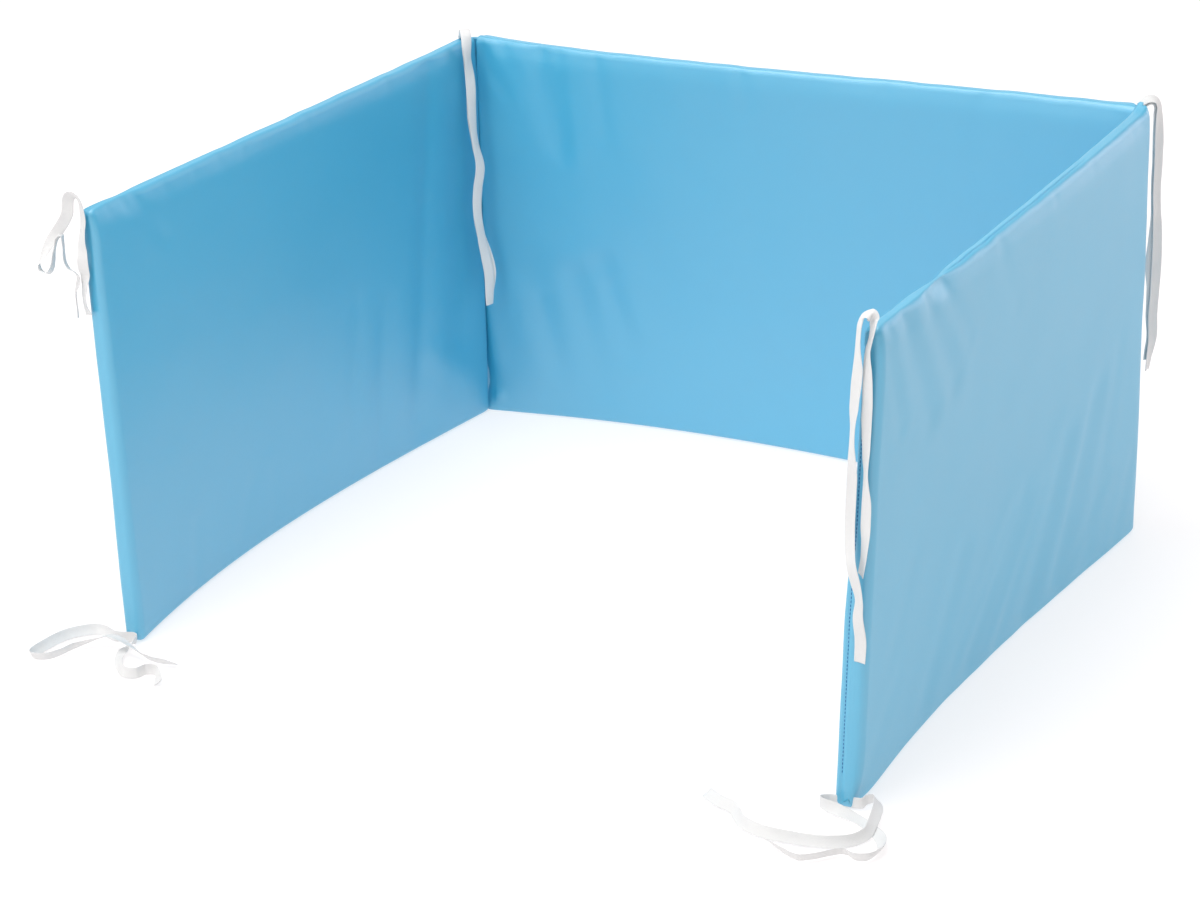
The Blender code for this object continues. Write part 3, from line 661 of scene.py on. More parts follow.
# A top tie of a free end hangs before the end face. Rows from one free end to the other: across the
# pad and out of the U, down from the top and off the face in millimetres, and the tape's turn in
# degrees (0 lies flat on the face, 90 stands square to it).
endTieColumns = ("across", "drop", "off", "turn")
endTies = {
    "leftEndTopTie": {"node": "left_end_top_tie", "pad": "leftPad", "rows": (
        (5, 92, 2, -21), (6.9, 84, 2, -34), (6.8, 75, 2.5, -34), (5.2, 66, 3, -25), (4.6, 57, 4, 0),
        (4, 50, 5, 14), (3.3, 42, 6, 10), (3.2, 34, 5, -5), (2, 25, 4, -22), (1.2, 17, 2, -30),
        (1, 9, 0.5, -26), (0.8, 1, 0.5, -28), (0.6, -6, 1, -36), (2.2, -11, 1.2, -39),
        (6.1, -14, 1.5, -40), (10.4, -13, 2, -38), (13.4, -8, 2.5, -32), (14.3, -3, 3, -28),
        (15.4, 3, 3, -28), (18.8, 9, 3, -25), (23.6, 15, 3, -15), (29.9, 22, 3, -5),
        (36.9, 30, 3, 5), (42.2, 38, 3, 18), (46.5, 46, 3, 38), (50, 53, 3, 60), (48.8, 57.5, 3, 64),
        (44.4, 59.5, 3, 66), (38.6, 56, 3, 92), (35.2, 48, 3, 110), (33.6, 40, 3, 114),
        (29.6, 30, 3, 108), (25.6, 24, 3, 90), (22.8, 23, 2.5, 70), (22.4, 31, 2, 60),
        (22.8, 41, 2, 60), (21.7, 48, 2, 58), (18.7, 53, 1.5, 56), (14.5, 55.5, 1, 50),
        (11.9, 59.5, 1, 36), (12.6, 65, 1, 40), (15.2, 71, 1, 50), (16.2, 80, 1, 50),
        (16, 89, 1, 50), (15.9, 95, 1, 52),
    )},
    "rightEndTopTie": {"node": "right_end_top_tie", "pad": "rightPad", "rows": (
        (4.6, 270, 2.5, -8), (4.2, 251, 2.5, -4), (2.4, 234, 4, -12), (3.6, 216, 6, -30),
        (1.4, 201, 10, -18), (-2.6, 188, 10, -14), (-6.2, 175, 6, -14), (-8.4, 158, 3, -14),
        (-8.8, 139, 2.5, -12), (-8.6, 112, 2.5, -22), (-9, 90, 2.5, -46), (-9.4, 74, 2.5, -42),
        (-9.6, 60, 2.5, -26), (-9.3, 45, 2.5, -16), (-8.7, 32, 2, -22), (-8.4, 22, 2, -36),
        (-8.5, 14, 2, -46), (-8.5, 6, 2, -50), (-7.9, -3, 2, -54), (-6.1, -8.5, 1.5, -62),
        (-3.8, -11.5, 1.5, -75), (-0.4, -12, 1.5, -60), (1.4, -8, 1, 22), (1.8, -3, 0.8, 42),
        (1.7, 1, 0.6, 49), (1.1, 6, 0.6, 52), (0.1, 11, 0.8, 51), (-1, 16, 1, 47),
        (-1.1, 21, 1.5, 41), (-0.7, 30, 2, 29), (-0.2, 42, 2, 21), (0.2, 53, 2, 18), (0.3, 68, 2, 15),
        (1.4, 88, 2, 24), (3.0, 114, 1.8, 46), (4, 133, 2, 27), (4.2, 153, 2, 18),
        (4.6, 172, 1.2, 34), (4.2, 184, 0.8, 42), (2.5, 197, 0.3, 45),
    )},
}

# A fold's tie hangs doubled. Rows up from the free end over the top to where it is sewn: across the
# corner as seen from the open side, down from the top and out of the corner in millimetres, the turn,
# and how far the second half fans out beside the first. `stack` is how far the halves lie apart,
# `behind` the side of the tape that the second is on, and `shorter` how much sooner it ends.
foldTieColumns = ("across", "drop", "out", "turn", "fan")
foldTieAxes = {"across": (0.866, 0.5, 0.0), "out": (0.5, -0.866, 0.0)}
foldTies = {
    "leftFoldTie": {"node": "left_fold_tie", "post": "leftFold", "facing": "across", "behind": -1,
                    "shorter": 0.012, "stack": 0.0025, "restsOn": "leftPad", "rows": (
        (6.2, 268, 40, 136, 0), (6.6, 254, 40, 120, 1), (6.6, 236, 40, 108, 3),
        (3.5, 214, 40, 116, 3), (0.5, 194, 40, 132, 1), (-2.2, 168, 40, 122, 0.5),
        (-1, 146, 40, 114, 0.5), (2.2, 124, 40, 120, 1), (-1, 99, 40, 146, 0.5),
        (-3.2, 75, 40, 132, 0), (-3.4, 60, 40, 122, 0), (-4, 36, 40, 112, 0.5),
        (-5.4, 12, 40.5, 140, 0), (-5.9, -1, 40.5, 118, 0),
        (-6.6, -10, 37, 96, 0), (-7.6, -13.5, 30, 90, 0), (-8.5, -10.5, 22.5, 90, 0),
        (-9, -5, 18.5, 90, 0), (-9.5, -3.2, 13.5, 90, 0),
    )},
    "rightFoldTie": {"node": "right_fold_tie", "post": "rightFold", "facing": "out", "behind": 1,
                     "shorter": 0.010, "stack": 0.0017, "restsOn": "rightFoldWeb", "rows": (
        (11.5, 254, 0, 60, 0), (13.2, 237, 0, 42, 0), (15, 222, 0, 28, 0), (14.4, 200, 0, 22, 1),
        (15, 178, 0, 24, 2), (15.6, 150, 0, 14, 5), (15.2, 127, 0, 18, 3), (13.6, 101, 0, 31, 0),
        (12.4, 78, 0, 34, 0), (12.6, 54, 0, 28, 0), (12.4, 36, 0, 28, 0), (11.8, 20, 0, 34, 0),
        (11.2, 8, 0, 46, 0), (10.4, -1, 0, 58, 0), (8, -5, 0, 64, 0), (4.2, -6.5, 0.2, 66, 0),
        (-0.2, -5.6, 0.4, 72, 0), (-3.2, -3.6, 0.7, 80, 0), (-6.6, -2.4, 0.9, 88, 0),
    )},
}

# A floor tie is sewn to the foot of a free end. Rows from one free end to the other: across the pad,
# away from its end face and up from where the tape would rest, in millimetres, and the turn (0 lies
# flat and 90 stands on edge).
floorTieColumns = ("across", "away", "lift", "turn")
floorTies = {
    "leftEndFloorTie": {"node": "left_end_floor_tie", "pad": "leftPad", "rows": (
        (-57, 38, 0, 35), (-48, 38.5, 0, 50), (-34, 37, 0, 55), (-14, 29, 4, 40), (5, 20, 9, 15),
        (15, 16, 9, 12), (32, 22, 3, 40), (43, 30, 0, 60), (50, 46, 0, 65), (60, 56, 0, 65),
        (70, 57, 0, 65), (68, 30, 0, 60), (58, 9, 0, 60), (48, 0, 0, 62), (38, -5, 0, 65),
        (28, -3, 0, 70), (15, 3.5, 0, 80), (6, 1.6, 0, 90), (0, 0.8, 0, 90), (-4, 3.5, 0, 82),
        (-3, 12, 0, 45), (0, 22, 0, 10), (-3, 35, 0, 20), (-12, 54, 0, 55), (-22, 65, 0, 75),
        (-31, 64, 0, 84), (-37, 55, 0, 84), (-44, 54, 0, 84), (-51, 62, 0, 65), (-57, 74, 0, 40),
    )},
    "rightEndFloorTie": {"node": "right_end_floor_tie", "pad": "rightPad", "rows": (
        (-111, 22, 0, 30), (-96, 33, 0, 45), (-86, 37, 0, 50), (-66, 59, 0, 55), (-48, 66, 0, 55),
        (-30, 67, 0, 55), (-14, 67, 0, 60), (6, 63, 0, 60), (22, 53, 0, 60), (28, 42, 1, 55),
        (28, 30, 3, 45), (27, 17, 5, 38), (25, 6, 6, 42), (20.5, -2, 6, 60), (15, -1.5, 4, 80),
        (11, 2.4, 2, 88), (6, 2.2, 1, 90), (0, 1.5, 0.5, 90),
        (-7, 1.5, 0, 90), (-17, 2.5, 0, 88), (-22, 6, 0, 88), (-17, 10, 0, 86), (-5, 14, 0, 45),
        (10, 18, 0, 12), (26, 28, 0, 10), (41, 46, 0, 35), (45, 62, 0, 55), (39, 76, 0, 65),
        (29, 78, 0, 65), (20, 73.5, 0, 60), (10, 80, 0, 60), (1, 88, 0, 60), (-10, 94, 0, 60),
        (-23, 89, 0, 60), (-40, 77, 0, 40),
    )},
}


# A tie's rows as one array for each named column.
def tieTable(columns, rows):
    return dict(zip(columns, np.array(rows, float).T))


# Middle of a pad's free end face at height share t, with the directions out of the U and off the face.
def endFrame(name, t):
    freeFirst = pads[name]["posts"][0].endswith("End")
    middle, tangent, normal = padMiddle(name, 0.0 if freeFirst else 1.0, t)
    middle, normal, tangent = (np.pad(v, [(0, 0), (0, 1)]) for v in (middle, normal, tangent))
    return middle, normal, -tangent if freeFirst else tangent


# Dense points along cubic Hermite pieces through the knots. Columns after the third ride along.
def smoothRoute(knots, step=0.0005):
    gaps = np.linalg.norm(np.diff(knots[:, :3], axis=0), axis=1)
    reached = np.concatenate([[0.0], np.cumsum(gaps)])
    slopes = np.gradient(knots, reached, axis=0)
    fine = np.linspace(0, reached[-1], int(reached[-1] / step))
    i = np.clip(np.searchsorted(reached, fine, side="right") - 1, 0, len(gaps) - 1)
    gap = gaps[i][:, None]
    v = (fine - reached[i])[:, None] / gap
    return ((2 * v**3 - 3 * v**2 + 1) * knots[i] + (v**3 - 2 * v**2 + v) * gap * slopes[i]
            + (3 * v**2 - 2 * v**3) * knots[i + 1] + (v**3 - v**2) * gap * slopes[i + 1])


# The tape's width: the level direction facing x travel, turned by `turn` toward `facing`.
def tapeWidths(points, turn, facing):
    travel = unit(np.gradient(points, axis=0))
    level = unit(np.cross(facing, travel))
    turn = np.radians(turn)[:, None]
    return np.cos(turn) * level + np.sin(turn) * np.cross(travel, level)


# The end face's middle at each row's height, moved across and off the face by the row. A turned tape's
# middle stands further off, by half its width x sin(turn), so that its edge keeps clear.
def endTieRoute(tie):
    rows = tieTable(endTieColumns, tie["rows"])
    height = bumper["height"] - rows["drop"] / 1000
    middle, across, away = endFrame(tie["pad"], height / bumper["height"])
    edgeReach = np.abs(np.sin(np.radians(rows["turn"]))) * tape["width"] / 2
    standOff = rows["off"] / 1000 + tape["solidThickness"] / 2 + edgeReach
    points = middle + rows["across"][:, None] / 1000 * across + standOff[:, None] * away
    points[:, 2] = height
    route = smoothRoute(np.column_stack([points, rows["turn"]]))
    return route[:, :3], tapeWidths(route[:, :3], route[:, 3], away.mean(axis=0))


# The post's top moved by each row, then the second half behind the first by stack x the tape's face
# and beside it by the fan, and a half circle that joins them where they are sewn down.
def foldTieRoute(tie):
    rows = tieTable(foldTieColumns, tie["rows"])
    post = np.append(feet[tie["post"]] + np.array(leans[tie["post"]]), bumper["height"])
    axes = {key: np.array(axis) for key, axis in foldTieAxes.items()}
    points = post + sum(rows[key][:, None] / 1000 * axes[key] for key in axes)
    points[:, 2] -= rows["drop"] / 1000
    route = smoothRoute(np.column_stack([points, rows["turn"], rows["fan"] / 1000]))
    first = route[:, :3]
    widths = tapeWidths(first, route[:, 3], axes[tie["facing"]])
    travel = unit(np.gradient(first, axis=0))
    shift = tie["behind"] * tie["stack"] * unit(np.cross(widths, travel))
    second = first + shift + route[:, 4:] * widths
    kept = np.cumsum(np.linalg.norm(np.diff(first, axis=0), axis=1)) > tie["shorter"]
    second = second[1:][kept][::-1]
    around = np.radians(np.arange(15, 180, 15))[:, None]
    bow = first[-1] + shift[-1] / 2 * (1 - np.cos(around))
    bow = bow + tie["stack"] / 2 * np.sin(around) * travel[-1]
    steady = np.broadcast_to(widths[-1], bow.shape)
    return (np.concatenate([first, bow, second]),
            np.concatenate([widths, steady, widths[1:][kept][::-1]]))


# The end face's foot moved across and away by each row. The tape's middle rests as high as half its
# width x sin(turn) and half its thickness and cup x cos(turn) ask, plus the row's lift.
def floorTieRoute(tie):
    rows = tieTable(floorTieColumns, tie["rows"])
    middle, across, away = endFrame(tie["pad"], np.zeros(1))
    points = middle + rows["across"][:, None] / 1000 * across + rows["away"][:, None] / 1000 * away
    turn = np.radians(rows["turn"])
    reach = np.abs(np.sin(turn)) * tape["width"] / 2
    thickness = np.abs(np.cos(turn)) * (tape["solidThickness"] / 2 + tape["cup"])
    points[:, 2] = tape["seatGap"] + reach + thickness + rows["lift"] / 1000
    route = smoothRoute(np.column_stack([points, rows["turn"]]))
    return route[:, :3], tapeWidths(route[:, :3], route[:, 3], np.array((0.0, 0.0, 1.0)))


# A flat closed profile carried along a route: at share x of the half width, the middle lies back by
# cup x^2, the half thickness is that of a superellipse, (1 - x^10)^(1/2), and each edge ripples by a
# soft noise x^2.
def tapeSurface(points, widths, seed):
    travel = unit(np.gradient(points, axis=0))
    length = np.linalg.norm(np.diff(points, axis=0), axis=1)
    bend, twist = (np.linalg.norm(np.diff(v, axis=0), axis=1) for v in (travel, widths))
    effort = length / tape["step"] + (bend + twist) / math.radians(tape["turnStep"])
    effort = np.concatenate([[0.0], np.cumsum(effort)])
    sections = np.linspace(0, effort[-1], int(effort[-1]) + 1)
    centre, travel, width = (
        np.stack([np.interp(sections, effort, v[:, axis]) for axis in range(3)], axis=-1)
        for v in (points, travel, widths)
    )
    reached = np.interp(sections, effort, np.concatenate([[0.0], np.cumsum(length)]))
    face = unit(np.cross(width, travel))[:, None]
    edge = (unit(width) * tape["width"] / 2)[:, None]
    x = np.array((-1, -0.985, -0.9, -0.7, -0.4, 0, 0.4, 0.7, 0.9, 0.985, 1))
    front = np.stack([x, np.sqrt(1 - np.clip(np.abs(x), 0, 1) ** 10)], axis=-1)
    back = front[-2:0:-1] * (1, -1)
    profile = np.concatenate([front, back])
    x, h = profile[:, 0][None, :, None], profile[:, 1][None, :, None]
    left, right = (softNoise(reached, spacing, seed + edge)[:, None, None]
                   for edge, spacing in enumerate(tape["rippleSteps"]))
    ripple = tape["ripple"] * (left * (x < 0) + right * (x > 0))
    lift = -tape["cup"] * x**2 + ripple * x**2 + h * tape["thickness"] / 2
    return centre[:, None] + x * edge + lift * face, reached


# Sets one input of a node by name.
def setSocket(node, name, value):
    node.inputs[name].default_value = value
    return node


# A node of the given kind at its place in the editor, with its properties set.
def newNode(tree, kind, x, y, **values):
    node = tree.nodes.new(kind)
    node.location = (x, y)
    for key, value in values.items():
        setattr(node, key, value)
    return node


# A shader node group with the named inputs (name, kind, value) and outputs (name, kind).
def newGroup(name, inputs, outputs):
    tree = bpy.data.node_groups.new(name, "ShaderNodeTree")
    for label, kind, value in inputs:
        socket = tree.interface.new_socket(label, in_out="INPUT", socket_type=kind)
        if value is not None:
            socket.default_value = value
    for label, kind in outputs:
        tree.interface.new_socket(label, in_out="OUTPUT", socket_type=kind)
    return tree, newNode(tree, "NodeGroupInput", -900, 0), newNode(tree, "NodeGroupOutput", 700, 0)


# One step of arithmetic on numbers or sockets, which gives the socket with its result.
def mathNode(tree, operation, x, y, first, second=None, third=None):
    node = newNode(tree, "ShaderNodeMath", x, y, operation=operation)
    for index, value in enumerate((first, second, third)):
        if value is None:
            continue
        if isinstance(value, (int, float)):
            node.inputs[index].default_value = value
        else:
            tree.links.new(value, node.inputs[index])
    return node.outputs[0]


# Plain weave: threads of the given pitch pass over and under each other, so the height is the size of
# sin(pi u / pitch) x sin(pi v / pitch) plus a fine noise that makes some threads stand prouder, and
# Thread is 1/2 + 1/2 of that product.
def buildWeave():
    tree, inward, outward = newGroup(
        "plainWeave",
        (("Map", "NodeSocketVector", None), ("Pitch", "NodeSocketFloat", 0.0005),
         ("Irregular", "NodeSocketFloat", 0.3)),
        (("Height", "NodeSocketFloat"), ("Thread", "NodeSocketFloat")),
    )
    split = newNode(tree, "ShaderNodeSeparateXYZ", -650, 0)
    tree.links.new(inward.outputs["Map"], split.inputs[0])
    waves = []
    for index, axis in enumerate(("X", "Y")):
        turns = mathNode(tree, "DIVIDE", -450, -160 * index, split.outputs[axis], inward.outputs["Pitch"])
        angle = mathNode(tree, "MULTIPLY", -280, -160 * index, turns, math.pi)
        waves.append(mathNode(tree, "SINE", -110, -160 * index, angle))
    cross = mathNode(tree, "MULTIPLY", 80, -80, waves[0], waves[1])
    noise = newNode(tree, "ShaderNodeTexNoise", -280, -380)
    setSocket(noise, "Scale", 900.0)
    setSocket(noise, "Detail", 2.0)
    tree.links.new(inward.outputs["Map"], noise.inputs["Vector"])
    uneven = mathNode(tree, "MULTIPLY", 80, -340, noise.outputs[0], inward.outputs["Irregular"])
    height = mathNode(tree, "ADD", 300, -80, mathNode(tree, "ABSOLUTE", 190, -20, cross), uneven)
    tree.links.new(height, outward.inputs["Height"])
    threadMask = mathNode(tree, "MULTIPLY_ADD", 480, -200, cross, 0.5, 0.5)
    tree.links.new(threadMask, outward.inputs["Thread"])
    return tree


# Slow drift of tone over a cloth: 0.7 x a large noise + 0.3 x one seven times finer, a mask about one
# half.
def buildDrift():
    tree, inward, outward = newGroup(
        "toneDrift",
        (("Place", "NodeSocketVector", None), ("Scale", "NodeSocketFloat", 6.0)),
        (("Mask", "NodeSocketFloat"),),
    )
    large = newNode(tree, "ShaderNodeTexNoise", -500, 100)
    small = newNode(tree, "ShaderNodeTexNoise", -500, -150)
    setSocket(large, "Detail", 2.0)
    setSocket(small, "Detail", 4.0)
    tree.links.new(inward.outputs["Place"], large.inputs["Vector"])
    tree.links.new(inward.outputs["Place"], small.inputs["Vector"])
    tree.links.new(inward.outputs["Scale"], large.inputs["Scale"])
    tree.links.new(mathNode(tree, "MULTIPLY", -700, -200, inward.outputs["Scale"], 7.0),
                   small.inputs["Scale"])
    mixed = mathNode(tree, "MULTIPLY", -250, -150, small.outputs[0], 0.3)
    total = mathNode(tree, "MULTIPLY", -250, 100, large.outputs[0], 0.7)
    tree.links.new(mathNode(tree, "ADD", 0, 0, total, mixed), outward.inputs["Mask"])
    return tree


weaveGroup = buildWeave()
driftGroup = buildDrift()

# Finishes: two tones, ranges of roughness, threads in metres, and the size of the drift's noise.
coverCloth = {
    "deep": (0.018, 0.405, 0.660),
    "pale": (0.026, 0.430, 0.685),
    "roughness": (0.36, 0.44),
    "pitch": 0.00042,  # between threads, in metres
    "weaveHeight": 0.00004,
    "sheen": 0.15,
    "sheenRoughness": 0.4,
    "specular": 0.85,
    "ior": 1.9,
    "drift": 7.0,
}
tapeCloth = {
    "deep": (0.75, 0.75, 0.755),
    "pale": (0.80, 0.80, 0.795),
    "roughness": (0.75, 0.88),
    "pitch": 0.0011,
    "weaveHeight": 0.00012,
    "sheen": 0.25,
    "sheenRoughness": 0.5,
    "specular": 0.3,
    "ior": 1.5,
    "drift": 40.0,
}
threadFinish = {
    "deep": (0.010, 0.110, 0.330),
    "pale": (0.020, 0.160, 0.420),
    "roughness": (0.55, 0.65),
    "pitch": 0.0004,
    "weaveHeight": 0.00003,
    "sheen": 0.1,
    "sheenRoughness": 0.5,
    "specular": 0.4,
    "ior": 1.5,
    "drift": 60.0,
}


# A woven cloth: its colour runs between two tones with drift + thread / 4, its roughness with the
# drift, and its bump is the weave on the piece's own map.
def clothMaterial(name, finish):
    material = bpy.data.materials.new(name)
    material.use_nodes = True
    tree = material.node_tree
    shader = tree.nodes["Principled BSDF"]
    setSocket(shader, "Metallic", 0.0)
    setSocket(shader, "Sheen Weight", finish["sheen"])
    setSocket(shader, "Sheen Roughness", finish["sheenRoughness"])
    setSocket(shader, "Specular IOR Level", finish["specular"])
    setSocket(shader, "IOR", finish["ior"])
    place = newNode(tree, "ShaderNodeTexCoord", -1100, 0)
    weave = newNode(tree, "ShaderNodeGroup", -850, -250, node_tree=weaveGroup)
    drift = newNode(tree, "ShaderNodeGroup", -850, 150, node_tree=driftGroup)
    setSocket(weave, "Pitch", finish["pitch"])
    setSocket(drift, "Scale", finish["drift"])
    tree.links.new(place.outputs["UV"], weave.inputs["Map"])
    tree.links.new(place.outputs["Object"], drift.inputs["Place"])
    threads = mathNode(tree, "MULTIPLY", -650, -50, weave.outputs["Thread"], 0.25)
    tone = mathNode(tree, "ADD", -480, 100, drift.outputs["Mask"], threads)
    ramp = newNode(tree, "ShaderNodeValToRGB", -300, 150)
    ramp.color_ramp.elements[0].position = 0.3
    ramp.color_ramp.elements[0].color = (*finish["deep"], 1)
    ramp.color_ramp.elements[1].position = 0.7
    ramp.color_ramp.elements[1].color = (*finish["pale"], 1)
    tree.links.new(tone, ramp.inputs[0])
    tree.links.new(ramp.outputs[0], shader.inputs["Base Color"])
    rough = newNode(tree, "ShaderNodeMapRange", -480, -80)
    setSocket(rough, "From Min", 0.3)
    setSocket(rough, "From Max", 0.7)
    setSocket(rough, "To Min", finish["roughness"][0])
    setSocket(rough, "To Max", finish["roughness"][1])
    tree.links.new(drift.outputs["Mask"], rough.inputs["Value"])
    tree.links.new(rough.outputs["Result"], shader.inputs["Roughness"])
    bump = newNode(tree, "ShaderNodeBump", -300, -300)
    setSocket(bump, "Distance", finish["weaveHeight"])
    tree.links.new(weave.outputs["Height"], bump.inputs["Height"])
    tree.links.new(bump.outputs["Normal"], shader.inputs["Normal"])
    return material


satinBlue = clothMaterial("satinBlueCover", coverCloth)
whiteTape = clothMaterial("whiteWovenTape", tapeCloth)
blueThread = clothMaterial("blueThread", threadFinish)
print("materials made")

for name, pad in pads.items():
    rings = padSurface(name)
    runs, rounds = ringLengths(rings)
    piece = addRings(name, rings, runs, rounds, satinBlue)
    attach(piece, "root")
    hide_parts(pad["node"])
    low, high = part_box(pad["node"])
    print(name, "made,", len(piece.data.polygons), "faces, off its solid by",
          [round(float(v) * 1000, 2) for v in rings.reshape(-1, 3).min(0) - np.array(low)],
          [round(float(v) * 1000, 2) for v in rings.reshape(-1, 3).max(0) - np.array(high)], "mm")

for name, web in webs.items():
    rings = webSurface(name)
    runs, rounds = ringLengths(rings)
    piece = addRings(name, rings, runs, rounds, satinBlue)
    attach(piece, "root")
    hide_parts(web["node"])
print("fold webs made")

# Stitches stand on the closed end along its seam, and a short zigzag fastens the tie at its top.
thread = {
    "radius": 0.00034,
    "pitch": 0.0034,  # from stitch to stitch along the seam
    "stitch": 0.0024,
    "from": 0.030,  # heights between which the seam is stitched
    "to": 0.386,
    "wander": 0.00025,
    "wanderStep": 0.02,
    "proud": 0.0002,
    "tackWide": (0.0050, 0.0082),  # half widths between which the zigzag runs
    "tackFrom": 0.3845,
    "tackTo": 0.3955,
    "tackSteps": 15,
    "tackProud": 0.0004,
    "rings": 5,
    "sides": 8,
    "tip": 0.96,  # share of the half stitch where its last ring lies
    "aside": (0.31, 0.77, 0.55),  # a direction that no stitch runs along
}


# Points on the closed end's face at half widths and heights, a little proud of the cloth: the end
# swells by 1 - (half / half thickness)^2 and falls back over its round as a sphere does.
def onClosedEnd(half, z, proud):
    half, z = np.broadcast_arrays(np.asarray(half, float), np.asarray(z, float))
    rim = bumper["rimRound"]
    height = bumper["height"]
    aside = np.maximum(half - bumper["thickness"] / 2 + rim, 0)
    above = np.maximum(z - height + rim, 0)
    turn = np.arcsin(np.clip(np.hypot(aside, above) / rim, 0, 1))
    back = rim * (1 - np.cos(turn))
    outward, forward = closedEndShape("in", half, bumper["thickness"] / 2 - half, back, z)
    middle, tangent, normal = padMiddle(closedEnd["pad"], 1.0 + 0 * z, z / height)
    swell = padFinish["endSwell"] * (1 - (half / (bumper["thickness"] / 2)) ** 2)
    reach = (forward - back + swell + proud)[..., None]
    plan = middle - (half + outward)[..., None] * normal + reach * tangent
    return np.concatenate([plan, z[..., None]], axis=-1)


# Each stitch is a rod between two points, its radius falling toward both ends as (1 - x^4)^(1/2).
def addStitches(name, starts, ends, material):
    axis = unit(ends - starts)
    side = unit(np.cross(axis, np.array(thread["aside"])))
    third = np.cross(axis, side)
    x = np.linspace(-thread["tip"], thread["tip"], thread["rings"])
    around = np.linspace(0, 2 * math.pi, thread["sides"], endpoint=False)
    centre = (starts + ends)[:, None] / 2 + (ends - starts)[:, None] / 2 * x[None, :, None]
    radius = thread["radius"] * np.sqrt(1 - x**4)
    ringOut = (np.cos(around)[None, :, None] * side[:, None]
               + np.sin(around)[None, :, None] * third[:, None])
    points = centre[:, :, None] + radius[None, :, None, None] * ringOut[:, None]
    count, rings, sides = points.shape[:3]
    i, j = np.meshgrid(np.arange(rings - 1), np.arange(sides), indexing="ij")
    k = (j + 1) % sides
    quads = np.stack([i * sides + j, (i + 1) * sides + j, (i + 1) * sides + k, i * sides + k], -1)
    quads = quads.reshape(-1, 4)
    base = np.arange(count) * rings * sides
    faces = (base[:, None, None] + quads).reshape(-1, 4).tolist()
    foot = base[:, None] + np.arange(sides)
    head = base[:, None] + (rings - 1) * sides + np.arange(sides)[::-1]
    mesh = bpy.data.meshes.new(name)
    mesh.from_pydata(points.reshape(-1, 3).tolist(), [], faces + foot.tolist() + head.tolist())
    uv = mesh.uv_layers.new(name="UVMap")
    position = np.zeros(len(mesh.loops), np.int32)
    mesh.loops.foreach_get("vertex_index", position)
    ring = position // sides
    flatMap = np.stack([ring * thread["stitch"] / rings, position % sides * thread["radius"]], axis=-1)
    uv.data.foreach_set("uv", flatMap.astype(np.float32).ravel())
    mesh.materials.append(material)
    mesh.shade_smooth()
    mesh.validate()
    mesh.update()
    piece = bpy.data.objects.new(name, mesh)
    bpy.context.scene.collection.objects.link(piece)
    return piece


levels = np.arange(thread["from"], thread["to"], thread["pitch"])
seamHalves = closedEnd["seamAt"] + thread["wander"] * softNoise(levels, thread["wanderStep"], 61)
seamStitches = addStitches(
    "closingSeamStitches",
    onClosedEnd(seamHalves, levels, thread["proud"]),
    onClosedEnd(seamHalves, levels + thread["stitch"], thread["proud"]),
    blueThread,
)
steps = np.arange(thread["tackSteps"] + 1)
tackLevels = np.interp(steps, (0, steps[-1]), (thread["tackFrom"], thread["tackTo"]))
tackHalves = np.where(steps % 2 == 0, *thread["tackWide"])
tackPoints = onClosedEnd(tackHalves, tackLevels, thread["tackProud"])
tackStitches = addStitches("tieTackStitches", tackPoints[:-1], tackPoints[1:], satinBlue)
for piece in (seamStitches, tackStitches):
    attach(piece, "root")
print("stitches made,", len(levels), "along the seam and", len(steps) - 1, "in the tack")

tieKinds = ((endTies, endTieRoute, "hung"), (foldTies, foldTieRoute, "hung"),
            (floorTies, floorTieRoute, "laid"))
seed = 40
for ties, routeOf, held in tieKinds:
    for name, tie in ties.items():
        seed += 2
        rings, runs = tapeSurface(*routeOf(tie), seed)
        rounds = ringLengths(rings)[1]
        piece = addRings(name, rings, runs, rounds, whiteTape)
        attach(piece, "root")
        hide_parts(tie["node"])
        print(name, "made,", round(float(runs[-1]), 3), "m of tape")

# Camera: place, pitch below level, yaw left of +Y and roll in degrees, and focal length in millimetres.
view = {"place": (1.1775, -2.2287, 1.221), "pitch": 23.27, "yaw": 28.08, "roll": 1.49, "lens": 92.76}
camera = bpy.data.objects.new("camera", bpy.data.cameras.new("camera"))
camera.data.lens = view["lens"]
camera.data.sensor_width = 36
turned = (Matrix.Rotation(math.radians(view["yaw"]), 4, "Z")
          @ Matrix.Rotation(math.radians(90 - view["pitch"]), 4, "X")
          @ Matrix.Rotation(math.radians(-view["roll"]), 4, "Z"))
camera.matrix_world = Matrix.Translation(view["place"]) @ turned
bpy.context.scene.collection.objects.link(camera)
bpy.context.scene.camera = camera

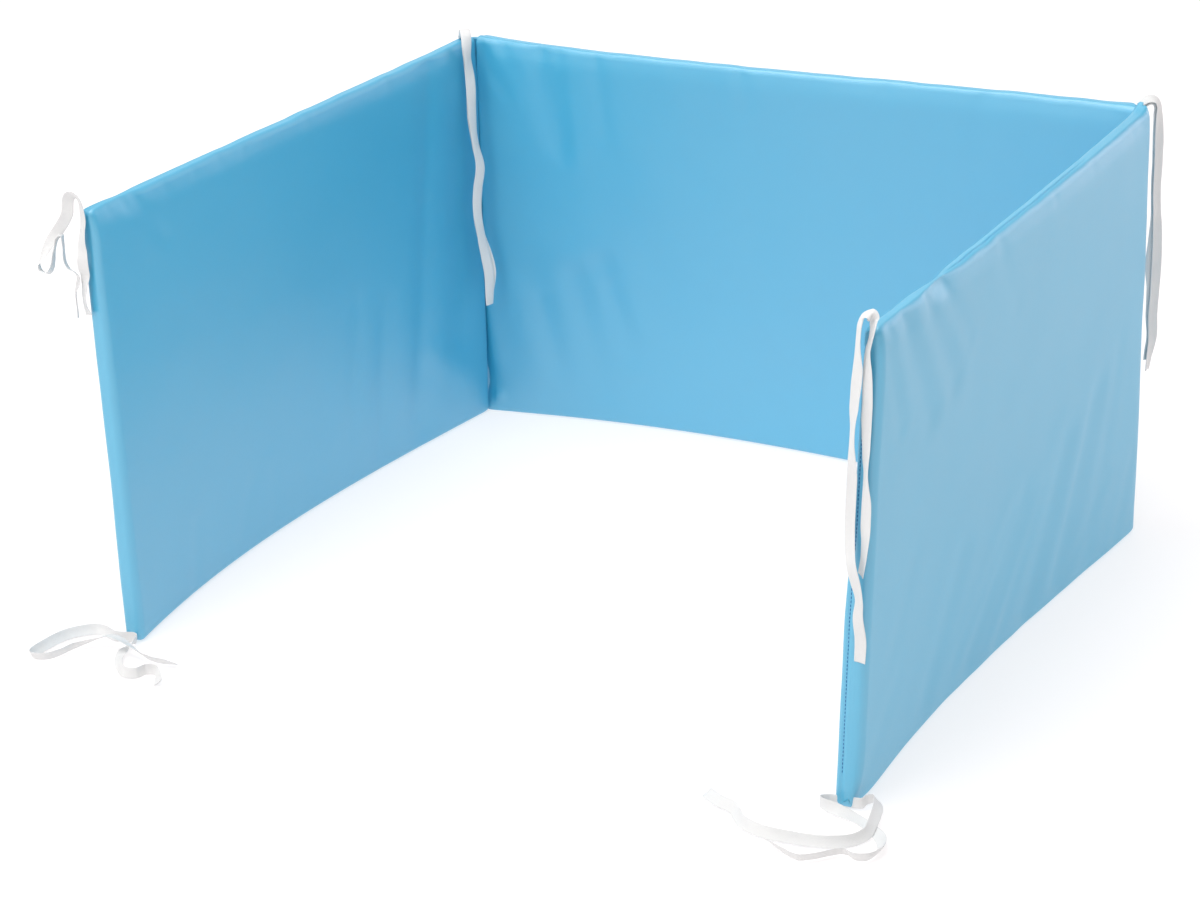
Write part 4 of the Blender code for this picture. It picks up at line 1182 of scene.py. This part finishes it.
# Studio: a white floor, soft lights (place, aim, size in metres, power in watts, colour) and a pale sky.
studio = {
    "floor": (0.47, 0.44, 0.44),
    "floorReach": 9.0,  # half the floor's side
    "floorDrop": 0.0002,
    "floorGlow": 0.64,
    "sky": 0.47,
    "lights": {
        "overhead": ((-0.4, -0.6, 3.2), (0, 0, 0.1), 3.0, 78, (1.0, 0.99, 0.98)),
        "front": ((-0.9, -3.3, 2.0), (0, 0, 0.2), 2.4, 32, (1.0, 1.0, 1.0)),
        "behind": ((-1.4, 3.4, 1.9), (0, 0, 0.3), 3.0, 16, (0.98, 0.99, 1.0)),
        "behindRight": ((2.2, 3.2, 0.9), (0.3, 0, 0.2), 2.0, 28, (1.0, 0.9, 0.96)),
    },
}


# A square floor a hair under the bumper, with a glow that keeps it white.
def addFloor(colour, glow):
    mesh = bpy.data.meshes.new("floor")
    half = studio["floorReach"]
    low = -studio["floorDrop"]
    corners = [(-half, -half, low), (half, -half, low), (half, half, low), (-half, half, low)]
    mesh.from_pydata(corners, [], [(0, 1, 2, 3)])
    material = bpy.data.materials.new("paperFloor")
    material.use_nodes = True
    shader = material.node_tree.nodes["Principled BSDF"]
    shader.inputs["Base Color"].default_value = (*colour, 1)
    shader.inputs["Roughness"].default_value = 0.85
    shader.inputs["Specular IOR Level"].default_value = 0.1
    shader.inputs["Emission Color"].default_value = (1, 1, 1, 1)
    shader.inputs["Emission Strength"].default_value = glow
    mesh.materials.append(material)
    floor = bpy.data.objects.new("floor", mesh)
    bpy.context.scene.collection.objects.link(floor)
    return floor


# A round area light at a place, turned to face its aim.
def addSoftLight(name, place, aim, size, power, colour):
    data = bpy.data.lights.new(name, "AREA")
    data.shape = "DISK"
    data.size = size
    data.energy = power
    data.color = colour
    light = bpy.data.objects.new(name, data)
    light.location = place
    light.rotation_euler = (Vector(aim) - Vector(place)).to_track_quat("-Z", "Y").to_euler()
    bpy.context.scene.collection.objects.link(light)


addFloor(studio["floor"], studio["floorGlow"])
for name, light in studio["lights"].items():
    addSoftLight(name, *light)
world = bpy.data.worlds.new("paleStudio")
world.use_nodes = True
sky = world.node_tree.nodes["Background"]
sky.inputs["Color"].default_value = (1, 1, 1, 1)
sky.inputs["Strength"].default_value = studio["sky"]
bpy.context.scene.world = world
bpy.context.scene.view_settings.view_transform = "Standard"
print("studio made")
